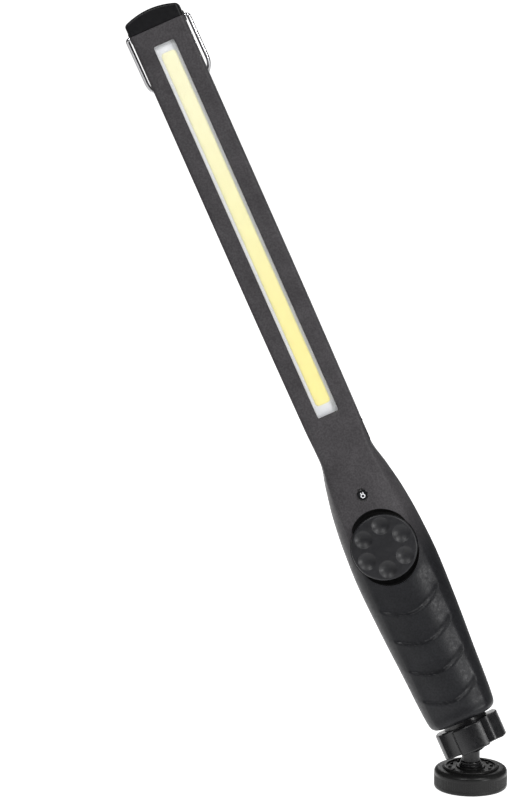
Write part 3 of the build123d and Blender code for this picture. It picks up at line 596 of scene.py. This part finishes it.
lens_low, lens_high = lamp_box("window_lens")
LENS_LAP = 0.9              # how far the lens reaches past the window on each side
window_width = lens_high.x - lens_low.x - 2 * LENS_LAP
window_length = lens_high.z - lens_low.z - 2 * LENS_LAP
window_middle = (lens_low + lens_high) / 2
dial_low, dial_high = lamp_box("dial")
dial_centre = ((dial_low.x + dial_high.x) / 2, (dial_low.z + dial_high.z) / 2)
mark_low, mark_high = lamp_box("indicator_lens")
mark_centre = ((mark_low.x + mark_high.x) / 2, (mark_low.z + mark_high.z) / 2)
cover_low, cover_high = lamp_box("port_cover")
cover_centre = ((cover_low.y + cover_high.y) / 2, (cover_low.z + cover_high.z) / 2)
socket_low, socket_high = lamp_box("micro_usb_socket")
bush_low, bush_high = lamp_box("hook_bushes")

POCKET_LENGTH = 34.2        # along the wand; across it the pocket only just clears the dial
POCKET_WIDTH = dial_high.x - dial_low.x + 0.7
POCKET_FLOOR = -11.6
BOSS_DIAMETER = 19.5
BUSH_DIAMETER = 3.4
BUSH_BACK = (bush_low.y + bush_high.y) / 2
SCREWS = [(28.0, 12.8), (106.0, 11.4), (246.0, 8.6)]    # height, distance from the centre line
SCREW_HOLE = 4.8
POST_DIAMETER = 6.6
POST_START = 1.6            # posts begin this far behind the axis
POST_END = 9.0              # and end this far behind it
POST_INSET = 0.35           # the posts stay this far under the outside
PILOT_HOLE = 2.5
SCREW_SEAT = 6.0            # underside of the screw heads, behind the axis
FAR = 30.0                  # past the outside of the wand, either way
PORT_FLAT = 11.1            # the port cover's seat, beside the axis
SOCKET_DEPTH = 6.0          # the socket's hole starts here, beside the axis
CAVITY_BOTTOM = 11.0        # the shells are hollow from here up
CAVITY_PAST = 3.0           # the cutting tools run this far past the seam and the parting plane
BOSS_TOP = 12.5
SHAFT_HOLE = 6.6
INDICATOR_HOLE = 4.95
WINDOW_CORNER = 0.8
WINDOW_CHAMFER = 0.35
FIT = 0.2                   # play of the lens and the socket in their holes
FIT_CORNER = 0.7            # corner radius of those holes
COVER_FIT = 0.3             # play of the port cover in its recess
COVER_CORNER = 1.1


def pocket_outline(shrink=0.0):
    """The dial's pocket: an ellipse, longer up the wand than across it."""
    half_width, half_length = POCKET_WIDTH / 2 - shrink, POCKET_LENGTH / 2 - shrink
    return [
        (dial_centre[0] + half_width * u, dial_centre[1] + half_length * v)
        for u, v in circle(1.0, 144)
    ]


def disc(axis, centre, diameter, start, end, count=72):
    """A round plug along one axis between two depths."""
    outline = circle(diameter / 2, count, centre)
    return skin([along(axis, start, outline), along(axis, end, outline)])


def shell_cuts():
    """Holes that both shells share: the ball joint's boss and the bushes of the hook."""
    return [
        disc("z", (0, 0), BOSS_DIAMETER, 0, BOSS_TOP),
        disc("x", (BUSH_BACK, SEAM), BUSH_DIAMETER, -FAR, FAR, 32),
    ]


def shell_cavity(side):
    """The hollow inside one shell."""
    return half_solid(side, WALL, CAVITY_BOTTOM, SEAM + CAVITY_PAST, CAVITY_PAST)


def make_front_shell():
    """Front half: the long window, the dial's pocket, the indicator and the charge port."""
    shell = new_object("front_shell", *half_solid(-1), lamp)
    face = -STATIONS[-1][2] / 2
    window_rings = [
        along("y", depth, rounded_rectangle(
            window_width + 2 * grow, window_length + 2 * grow, WINDOW_CORNER + grow,
            (window_middle.x, window_middle.z)))
        for depth, grow in [(0, 0), (face + WINDOW_CHAMFER, 0), (face - 0.05, WINDOW_CHAMFER),
                            (face - 3, WINDOW_CHAMFER)]
    ]
    lens_seat = rounded_rectangle(
        lens_high.x - lens_low.x + FIT, lens_high.z - lens_low.z + FIT, FIT_CORNER,
        (window_middle.x, window_middle.z))
    pocket_rings = [
        along("y", depth, pocket_outline(shrink))
        for depth, shrink in [(POCKET_FLOOR, 0.5), (POCKET_FLOOR - 0.5, 0), (-FAR, 0)]
    ]
    cover_hole = rounded_rectangle(
        cover_high.y - cover_low.y + COVER_FIT, cover_high.z - cover_low.z + COVER_FIT,
        COVER_CORNER, cover_centre)
    socket_hole = rounded_rectangle(
        socket_high.y - socket_low.y + FIT, socket_high.z - socket_low.z + FIT, FIT_CORNER,
        ((socket_low.y + socket_high.y) / 2, (socket_low.z + socket_high.z) / 2))
    combine(shell, "DIFFERENCE", [shell_cavity(-1)], lamp)
    floor = disc("y", dial_centre, POCKET_WIDTH, POCKET_FLOOR + WALL, POCKET_FLOOR - 0.6, 144)
    combine(shell, "UNION", [floor], lamp)
    combine(shell, "DIFFERENCE", [
        skin(window_rings),
        skin([along("y", 0, lens_seat), along("y", lens_low.y - 0.02, lens_seat)]),
        skin(pocket_rings),
        disc("y", dial_centre, SHAFT_HOLE, -FAR, 0, 48),
        disc("y", mark_centre, INDICATOR_HOLE, -FAR, 0, 48),
        skin([along("x", PORT_FLAT, cover_hole), along("x", FAR, cover_hole)]),
        skin([along("x", SOCKET_DEPTH, socket_hole), along("x", FAR, socket_hole)]),
        *shell_cuts(),
    ], lamp)
    finish_piece(shell, "lamp", finishes["shell_black"], ["front_housing"])


def make_rear_shell():
    """Rear half, with a post and a sunk hole for each housing screw."""
    shell = new_object("rear_shell", *half_solid(1), lamp)
    combine(shell, "DIFFERENCE", [shell_cavity(1)], lamp)
    places = [(side * offset, height) for height, offset in SCREWS for side in (-1, 1)]
    for place in places:
        post = new_object("post", *disc("y", place, POST_DIAMETER, POST_START, POST_END, 32), lamp)
        combine(post, "INTERSECT", [half_solid(1, inset=POST_INSET)], lamp)
        combine_objects(shell, "UNION", [post])
    holes = []
    for place in places:
        holes.append(disc("y", place, SCREW_HOLE, SCREW_SEAT, FAR, 32))
        holes.append(disc("y", place, PILOT_HOLE, 0, FAR, 24))
    combine(shell, "DIFFERENCE", [*holes, *shell_cuts()], lamp)
    finish_piece(shell, "lamp", finishes["shell_black"], ["rear_housing"])


# ---------------------------------------------------------------- wand: end cap

CAP_SHOULDER = 342.8
CAP_ROUNDING = 1.1


def full_outline(height, inset=0.0):
    """The whole outline of the wand at a height, front and back together."""
    front = half_outline(height, -1, 0.0, inset)
    back = half_outline(height, 1, 0.0, inset)
    return [*front, *reversed(back[1:-1])]


def make_end_cap():
    """Cap over the head: its top is arched across the wand and its edge is rounded."""
    half_width = STATIONS[-1][1] / 2
    crown = lamp_box("end_cap")[1].z

    def top_at(x):
        return crown - (crown - CAP_SHOULDER) * (x / half_width) ** 2

    rings = [
        along("z", SEAM + 0.06, full_outline(SEAM, 0.30)),
        along("z", SEAM + 0.36, full_outline(SEAM)),
        along("z", CAP_SHOULDER - 2.6, full_outline(SEAM)),
    ]
    for angle in spread(0, pi / 2, 7):
        inset = CAP_ROUNDING * (1 - cos(angle))
        drop = CAP_ROUNDING * (1 - sin(angle))
        rings.append([(x, y, top_at(x) - drop) for x, y in full_outline(SEAM, inset)])
    for share in (0.8, 0.6, 0.4, 0.2, 0.05):
        edge = full_outline(SEAM, CAP_ROUNDING)
        rings.append([(share * x, share * y, top_at(share * x)) for x, y in edge])
    cap = new_object("end_cap_shell", *skin(rings), lamp)
    inner = full_outline(SEAM, WALL)
    combine(cap, "DIFFERENCE", [
        skin([along("z", SEAM - 3, inner), along("z", CAP_SHOULDER - WALL, inner)]),
        disc("x", (BUSH_BACK, SEAM), BUSH_DIAMETER, -FAR, FAR, 32),
    ], lamp)
    finish_piece(cap, "lamp", finishes["cap_black"], ["end_cap"])


# ---------------------------------------------------------------- wand: light, indicator, port

def make_led_strip():
    """A low pad of silicone, rounded over at its edges."""
    corner = 1.5
    width = strip_high.x - strip_low.x
    length = strip_high.z - strip_low.z
    middle = ((strip_low.x + strip_high.x) / 2, (strip_low.z + strip_high.z) / 2)
    back = strip_high.y
    rings = []
    for depth, inset in [(0, 0.05), (0.08, 0), (0.22, 0.02), (0.34, 0.16), (0.42, 0.42),
                         (0.50, 1.0), (0.55, 1.9)]:
        outline = rounded_rectangle(width - 2 * inset, length - 2 * inset,
                                    max(corner - inset, 0.3), middle)
        rings.append(along("y", back - depth, outline))
    strip = new_object("led_strip_silicone", *skin(rings), lamp)
    finish_piece(strip, "lamp", finishes["phosphor"], ["led_strip"])


def make_indicator_mark():
    """White marks inlaid in the indicator: a ring with two short bars above it."""
    face = mark_low.y - 0.02
    ring_outer, ring_inner, bar_width, bar_height, bar_offset = 1.0, 0.6, 0.34, 0.8, 0.5
    middle = (mark_centre[0], mark_centre[1] - 0.35)
    outer = circle(ring_outer, 32, middle)
    inner = circle(ring_inner, 32, middle)
    solids = [skin([
        along("y", face + 0.15, outer), along("y", face, outer),
        along("y", face, inner), along("y", face + 0.15, inner),
    ], looped=True)]
    for side in (-1, 1):
        bar = rounded_rectangle(bar_width, bar_height, 0.12,
                                (middle[0] + side * bar_offset, middle[1] + 1.25))
        solids.append(skin([along("y", face + 0.15, bar), along("y", face, bar)]))
    for name, solid in zip(("indicator_white_ring", "indicator_white_left", "indicator_white_right"), solids):
        mark = new_object(name, *solid, lamp)
        finish_piece(mark, "lamp", finishes["board_white"])


def make_port_cover():
    """Rubber plug cover: a cushioned pad with a lifting tab at its upper end."""
    width, length = cover_high.y - cover_low.y, cover_high.z - cover_low.z
    rings = []
    for depth, inset in [(0, 0.25), (0.15, 0.05), (0.35, 0), (0.85, 0), (1.05, 0.1), (1.18, 0.35)]:
        outline = rounded_rectangle(width - 2 * inset, length - 2 * inset,
                                    COVER_CORNER - inset / 2,
                                    cover_centre)
        rings.append(along("x", PORT_FLAT + 0.05 + depth, outline))
    cover = new_object("port_cover_rubber", *skin(rings), lamp)
    tab_width, tab_length, tab_drop = 2.6, 0.7, 1.5
    plug_width, plug_length = 1.2, 5.2
    root = PORT_FLAT + 0.6      # both run into the pad as far as this
    tab = rounded_rectangle(tab_width, tab_length, 0.3,
                            (cover_centre[0], cover_high.z - tab_drop))
    plug = rounded_rectangle(plug_width, plug_length, 0.4, cover_centre)
    combine(cover, "UNION", [
        skin([along("x", root, tab), along("x", cover_high.x + 0.2, tab)]),
        skin([along("x", cover_low.x, plug), along("x", root, plug)]),
    ], lamp)
    finish_piece(cover, "port_cover", finishes["rubber_black"], ["port_cover"])


# ---------------------------------------------------------------- dial

def make_dial_pocket_shade():
    """Matt near-black cup in the dial's pocket, stopping just below the grip's surface: painted shade standing in
    for the shadow deep in the pocket round the dial.
    """
    depth, wall, hole = 0.3, 0.35, circle(4.2, 144, dial_centre)
    rings = [
        along("y", POCKET_FLOOR + 0.05, pocket_outline(0.55)),
        along("y", POCKET_FLOOR - 0.5, pocket_outline(0.02)),
        along("y", -FAR, pocket_outline(0.02)),
        along("y", -FAR, pocket_outline(wall)),
        along("y", POCKET_FLOOR - 0.3, pocket_outline(wall)),
        along("y", POCKET_FLOOR - 0.3, hole),
        along("y", POCKET_FLOOR + 0.05, hole),
    ]
    pocket_shade = new_object("dial_pocket_shade", *skin(rings, looped=True), lamp)
    combine(pocket_shade, "INTERSECT", [half_solid(-1, inset=depth)], lamp)
    finish_piece(pocket_shade, "lamp", finishes["pocket_shade_black"])


DIMPLE_COUNT = 6
DIMPLE_CIRCLE = 9.6
DIMPLE_RADIUS = 3.9
DIMPLE_DEPTH = 1.2
DIMPLE_START = 16.0
DIAL_EDGE = 0.8
DIAL_DOME = 0.30            # how far the face falls from its middle to its edge


def make_dial():
    """A slightly domed knob with a ring of round finger dimples."""
    radius = (dial_high.x - dial_low.x) / 2
    face = dial_low.y
    middle = Vector(dial_centre)
    dimples = [
        middle + DIMPLE_CIRCLE * Vector((cos(radians(angle)), sin(radians(angle))))
        for angle in [DIMPLE_START + 360 / DIMPLE_COUNT * k for k in range(DIMPLE_COUNT)]
    ]

    def face_at(u, v):
        dome = DIAL_DOME * ((Vector((u, v)) - middle).length / radius) ** 2
        sink = 0.0
        for dimple in dimples:
            share = (Vector((u, v)) - dimple).length / DIMPLE_RADIUS
            if share < 1:
                sink += DIMPLE_DEPTH * (1 - share * share)
        return face + dome + sink

    flat_radius = radius - DIAL_EDGE
    rings = []
    for reach in spread(0.5, flat_radius, 56):
        rings.append([(u, face_at(u, v), v) for u, v in circle(reach, 200, dial_centre)])
    for angle in spread(0, pi / 2, 6)[1:]:
        reach = flat_radius + DIAL_EDGE * sin(angle)
        sunk = face + 0.28 + DIAL_EDGE * (1 - cos(angle))
        rings.append(along("y", sunk, circle(reach, 200, dial_centre)))
    rings.append(along("y", dial_high.y - 0.2, circle(radius, 200, dial_centre)))
    rings.append(along("y", dial_high.y, circle(radius - 0.2, 200, dial_centre)))
    dial = new_object("dial_knob", *skin(rings), lamp)
    finish_piece(dial, "dial", finishes["dial_black"], ["dial"])


# ---------------------------------------------------------------- hook

def make_hook():
    """One bent wire: a wide loop whose two ends turn in to form the pins."""
    hook_low, hook_high = lamp_box("hook")
    wire = 0.9                  # radius
    side = hook_high.x - wire
    bar_back, bar_height = hook_high.y - wire, hook_low.z + wire
    pin = STATIONS[-1][1] / 2 - 2.5
    corner, bend = 1.1, 9.0
    pivot = lamp.inverted() @ Vector(joints["hook_swing"]["pos_m"]) / MM
    points = [
        (-pin, pivot.y, pivot.z), (-side, pivot.y, pivot.z),
        (-side, bar_back, bar_height), (side, bar_back, bar_height),
        (side, pivot.y, pivot.z), (pin, pivot.y, pivot.z),
    ]
    route = rounded_path(points, [corner, bend, bend, corner], 14)
    hook = new_object("hook_wire", *skin(tube(route, wire, 28)), lamp)
    finish_piece(hook, "hook", finishes["wire_chrome"], ["hook"])


# ---------------------------------------------------------------- collar

COLLAR_LOBES = 4
FLUTE_RADIUS = 4.9
FLUTE_CENTRE = 15.9
COLLAR_BLEND = 0.55         # softness of the corners between a lobe and a flute
LOBE_RUNOFF = 6             # outside a flute its edge runs out this steeply, past the lobe's
COLLAR_EDGE = 0.7
BALL_SEAT = 8.06


def make_collar():
    """Star-shaped ring with rounded edges, bored out with a round seat that holds the ball."""
    low, high = lamp_box("lock_collar")
    radius = high.x
    count = 192

    def star(angle):
        """Distance of the star's edge from the axis."""
        step = 2 * pi / COLLAR_LOBES
        offset = angle % step - step / 2
        across = abs(FLUTE_CENTRE * sin(offset))
        if across < FLUTE_RADIUS:
            edge = FLUTE_CENTRE * cos(offset) - sqrt(FLUTE_RADIUS**2 - across**2)
        else:
            edge = FLUTE_CENTRE * cos(offset) + LOBE_RUNOFF * (across - FLUTE_RADIUS)
        return -COLLAR_BLEND * log(exp(-edge / COLLAR_BLEND) + exp(-radius / COLLAR_BLEND))

    def star_ring(height, inset):
        ring = []
        for k in range(count):
            angle = 2 * pi * k / count
            reach = star(angle) - inset
            ring.append((reach * cos(angle), reach * sin(angle), height))
        return ring

    rings = []
    for angle in spread(0, pi / 2, 6):
        inset = COLLAR_EDGE * (1 - sin(angle))
        rings.append(star_ring(low.z + COLLAR_EDGE * (1 - cos(angle)), inset))
    for angle in spread(pi / 2, 0, 6):
        inset = COLLAR_EDGE * (1 - sin(angle))
        rings.append(star_ring(high.z - COLLAR_EDGE * (1 - cos(angle)), inset))
    bore, lip_top, lip_edge, lip_radius, mouth = 9.78, -1.8, -3.4, 7.3, 8.7
    inside = [(bore + 0.3, high.z), (bore, high.z - 0.3), (bore, lip_top)]
    for height in spread(lip_top, lip_edge, 5):
        inside.append((sqrt(BALL_SEAT**2 - height**2), height))
    inside += [(lip_radius, lip_edge - 0.05), (mouth, low.z + 0.3), (mouth + 0.3, low.z)]
    rings += [along("z", height, circle(reach, count)) for reach, height in inside]
    collar = new_object("star_collar", *skin(rings, looped=True), lamp)
    finish_piece(collar, "collar", finishes["collar_black"], ["lock_collar"])


# ---------------------------------------------------------------- magnetic foot

KNURL_TEETH = 110
KNURL_DEPTH = 0.16
KNURL_BAND = (2.0, 6.4)     # the knurl lies between these heights
KNURL_RUNOUT = 0.2          # and fades out over this much at each end


def make_foot():
    """Turned cup with a knurled side, open below for the magnet and above for the top plate."""
    low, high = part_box("base_cup")
    radius, foot_top = high.x / MM, high.z / MM
    underside = low.z / MM
    band_low, band_high = KNURL_BAND
    edge, shoulder = 0.9, 2.0
    plate_hole, plate_seat, pot_hole, pot_roof, journal = 12.15, 8.2, 13.9, 7.25, 3.25
    profile = [
        (pot_hole, underside),
        *arc((radius - edge, underside + edge), edge, -90, 0),
        (radius, band_low), (radius, band_low + KNURL_RUNOUT),
        (radius, band_high - KNURL_RUNOUT), (radius, band_high),
        *arc((radius - shoulder, foot_top - shoulder), shoulder, 0, 90, 10),
        (plate_hole + 0.25, foot_top), (plate_hole, foot_top - 0.25),
        (plate_hole, plate_seat), (journal, plate_seat), (journal, pot_roof), (pot_hole, pot_roof),
    ]

    def knurl(angle, reach, height):
        inside = band_low + KNURL_RUNOUT / 2 < height < band_high - KNURL_RUNOUT / 2
        if reach < radius - 0.01 or not inside:
            return 0.0
        return -KNURL_DEPTH * abs(sin(angle * KNURL_TEETH / 2))

    cup = new_object("foot_cup", *revolve(profile, 4 * KNURL_TEETH, knurl), foot)
    finish_piece(cup, "base", finishes["foot_black"], ["base_cup"])


PIP_COUNT = 12
PIP_CIRCLE = 9.1
PIP_RADIUS = 0.75
PIP_START = 4.0


def make_top_plate():
    """Turned plate with a raised rim and middle, and a ring of round pips in the groove between."""
    low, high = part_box("base_top_plate")
    radius, top, seat = high.x / MM, high.z / MM, low.z / MM
    groove_out, groove_in, floor, journal = radius - 1.5, radius - 5.6, top - 0.6, 3.25
    profile = [
        (journal, seat), (radius, seat), (radius, top - 0.5),
        *arc((radius - 0.5, top - 0.5), 0.5, 0, 90),
        (groove_out + 0.3, top), (groove_out, top - 0.3), (groove_out, floor),
        (groove_in, floor), (groove_in, top - 0.3), (groove_in - 0.3, top), (journal, top),
    ]
    plate = new_object("foot_plate", *revolve(profile, 144), foot)
    pips = []
    for k in range(PIP_COUNT):
        angle = radians(PIP_START + 360 / PIP_COUNT * k)
        middle = (PIP_CIRCLE * cos(angle), PIP_CIRCLE * sin(angle))
        pips.append(skin([
            along("z", floor + rise, circle(reach, 24, middle))
            for rise, reach in [(-0.3, PIP_RADIUS), (0.25, PIP_RADIUS), (0.4, 0.88 * PIP_RADIUS),
                                (0.5, 0.6 * PIP_RADIUS), (0.54, 0.25 * PIP_RADIUS)]
        ]))
    combine(plate, "UNION", pips, foot)
    finish_piece(plate, "base", finishes["foot_black"], ["base_top_plate"])


# ---------------------------------------------------------------- stage, light and camera

VIEW_PITCH = 12.8           # degrees that the camera looks down
VIEW_DISTANCE = 2.0         # metres from the ball, along the line of sight
VIEW_LEFT = 0.0941          # the line of sight passes this far left of the ball
VIEW_ABOVE = 0.1461         # and this far above it
VIEW_LENS = 206.1           # millimetres, on a 36 mm sensor


def add_camera():
    """A long lens, a little above the wand and square to its front."""
    pitch = radians(VIEW_PITCH)
    up = Vector((0, sin(pitch), cos(pitch)))
    towards = Vector((0, -cos(pitch), sin(pitch)))
    data = bpy.data.cameras.new("camera")
    data.lens = VIEW_LENS
    data.sensor_width = 36
    data.clip_end = 20
    camera = bpy.data.objects.new("camera", data)
    bpy.context.scene.collection.objects.link(camera)
    camera.matrix_world = Matrix((Vector((1, 0, 0)), up, towards)).transposed().to_4x4()
    camera.location = ball + Vector((-VIEW_LEFT, 0, 0)) + VIEW_ABOVE * up + VIEW_DISTANCE * towards
    bpy.context.scene.camera = camera


def add_area_light(name, location, target, size, watts):
    """A rectangular light at one point, turned towards another."""
    data = bpy.data.lights.new(name, "AREA")
    data.shape = "RECTANGLE"
    data.size, data.size_y = size
    data.energy = watts
    light = bpy.data.objects.new(name, data)
    light.location = location
    light.rotation_euler = (Vector(target) - Vector(location)).to_track_quat("-Z", "Y").to_euler()
    bpy.context.scene.collection.objects.link(light)


STAGE_HALF_WIDTH = 5.0
STAGE_FRONT = 5.0
STAGE_BACK = 4.6            # where the floor starts to curve up
STAGE_BEND = 1.0
STAGE_HEIGHT = 3.6
STAGE_PAINTED_GLOW = 1.0
POOL_SIDE = (0.24, 0.14)    # the glow ends at the first distance and is full at the second
POOL_FRONT = (-0.20, -0.07)
POOL_SPREAD = 0.045         # it widens by this much for each metre towards the back


def stage_paper():
    """White paper with a painted glow: a pool of emitted light behind and under the wand, widening to the back,
    that stands in for studio light and washes out the wand's shadows.
    """
    paper = surface("stage_white", (0.9, 0.9, 0.9), 0.9, patch=3, grain=60, depth=0.0,
                    variation=0.01, rough_variation=0.02)
    tree = paper.node_tree
    shader = tree.nodes["Principled BSDF"]
    shader.inputs["Specular IOR Level"].default_value = 0.0
    place = tree.nodes.new("ShaderNodeTexCoord")
    split = tree.nodes.new("ShaderNodeSeparateXYZ")
    tree.links.new(place.outputs["Object"], split.inputs["Vector"])
    offset = tree.nodes.new("ShaderNodeMath")
    offset.operation = "ADD"
    offset.inputs[1].default_value = VIEW_LEFT
    tree.links.new(split.outputs["X"], offset.inputs[0])
    distance = tree.nodes.new("ShaderNodeMath")
    distance.operation = "ABSOLUTE"
    tree.links.new(offset.outputs["Value"], distance.inputs[0])
    across = tree.nodes.new("ShaderNodeMath")
    across.operation = "MULTIPLY_ADD"
    across.inputs[1].default_value = -POOL_SPREAD
    tree.links.new(split.outputs["Y"], across.inputs[0])
    tree.links.new(distance.outputs["Value"], across.inputs[2])
    pool = tree.nodes.new("ShaderNodeMath")
    pool.operation = "MULTIPLY"
    for socket, value, (dark, light) in (
        (0, across.outputs["Value"], POOL_SIDE),
        (1, split.outputs["Y"], POOL_FRONT),
    ):
        edge = tree.nodes.new("ShaderNodeMapRange")
        edge.interpolation_type = "SMOOTHSTEP"
        edge.inputs["From Min"].default_value = dark
        edge.inputs["From Max"].default_value = light
        tree.links.new(value, edge.inputs["Value"])
        tree.links.new(edge.outputs["Result"], pool.inputs[socket])
    # Painted light: the paper itself emits the pool's glow, whitening it and hiding shadows.
    glow = ramp(tree, pool.outputs["Value"], [(0.0, (0, 0, 0)), (1.0, (1, 1, 1))])
    tree.links.new(glow, shader.inputs["Emission Color"])
    shader.inputs["Emission Strength"].default_value = STAGE_PAINTED_GLOW
    return paper


def add_stage():
    """A pale floor that curves up into a pale backdrop, with a painted glow in place of light falling on it."""
    profile = [(-STAGE_FRONT, 0.0), (STAGE_BACK, 0.0)]
    steps = 24
    for step in range(1, steps + 1):
        angle = step / steps * pi / 2
        profile.append(
            (STAGE_BACK + STAGE_BEND * sin(angle), STAGE_BEND * (1 - cos(angle)))
        )
    profile.append((STAGE_BACK + STAGE_BEND, STAGE_HEIGHT))
    half = STAGE_HALF_WIDTH
    vertices = [(x, y, z) for y, z in profile for x in (-half, half)]
    faces = [(2 * i, 2 * i + 1, 2 * i + 3, 2 * i + 2) for i in range(len(profile) - 1)]
    mesh = bpy.data.meshes.new("studio_sweep")
    mesh.from_pydata(vertices, [], faces)
    for polygon in mesh.polygons:
        polygon.use_smooth = True
    sweep = bpy.data.objects.new("studio_sweep", mesh)
    bpy.context.scene.collection.objects.link(sweep)
    mesh.materials.append(stage_paper())


WORLD_GLOW = 0.10
SUBJECT = ball + 0.15 * Vector((-0.4, 0.1, 0.9))      # the softboxes aim at this point


def add_softbox(name, azimuth, elevation, distance, size, watts):
    """Area light aimed at the wand: degrees right of the front, degrees up, metres away."""
    turn, rise = radians(azimuth), radians(elevation)
    reach = Vector((sin(turn) * cos(rise), -cos(turn) * cos(rise), sin(rise)))
    add_area_light(name, SUBJECT + distance * reach, SUBJECT, size, watts)


def add_lights():
    """Two high softboxes in front, a low one at the right and a dim even surround."""
    add_softbox("key_right", 36, 44, 2.2, (0.6, 0.6), 17)
    add_softbox("key_left", -26, 44, 2.2, (0.4, 0.4), 14)
    add_softbox("side_right", 46, 5, 2.2, (0.3, 0.5), 15)
    world = bpy.data.worlds.new("studio")
    world.use_nodes = True
    background = world.node_tree.nodes["Background"]
    background.inputs["Color"].default_value = (1, 1, 1, 1)
    background.inputs["Strength"].default_value = WORLD_GLOW
    bpy.context.scene.world = world


make_front_shell()
make_rear_shell()
make_end_cap()
make_led_strip()
make_indicator_mark()
make_port_cover()
make_dial_pocket_shade()
make_dial()
make_hook()
make_collar()
make_foot()
make_top_plate()

bpy.context.scene.view_settings.view_transform = "Standard"
add_camera()
add_stage()
add_lights()
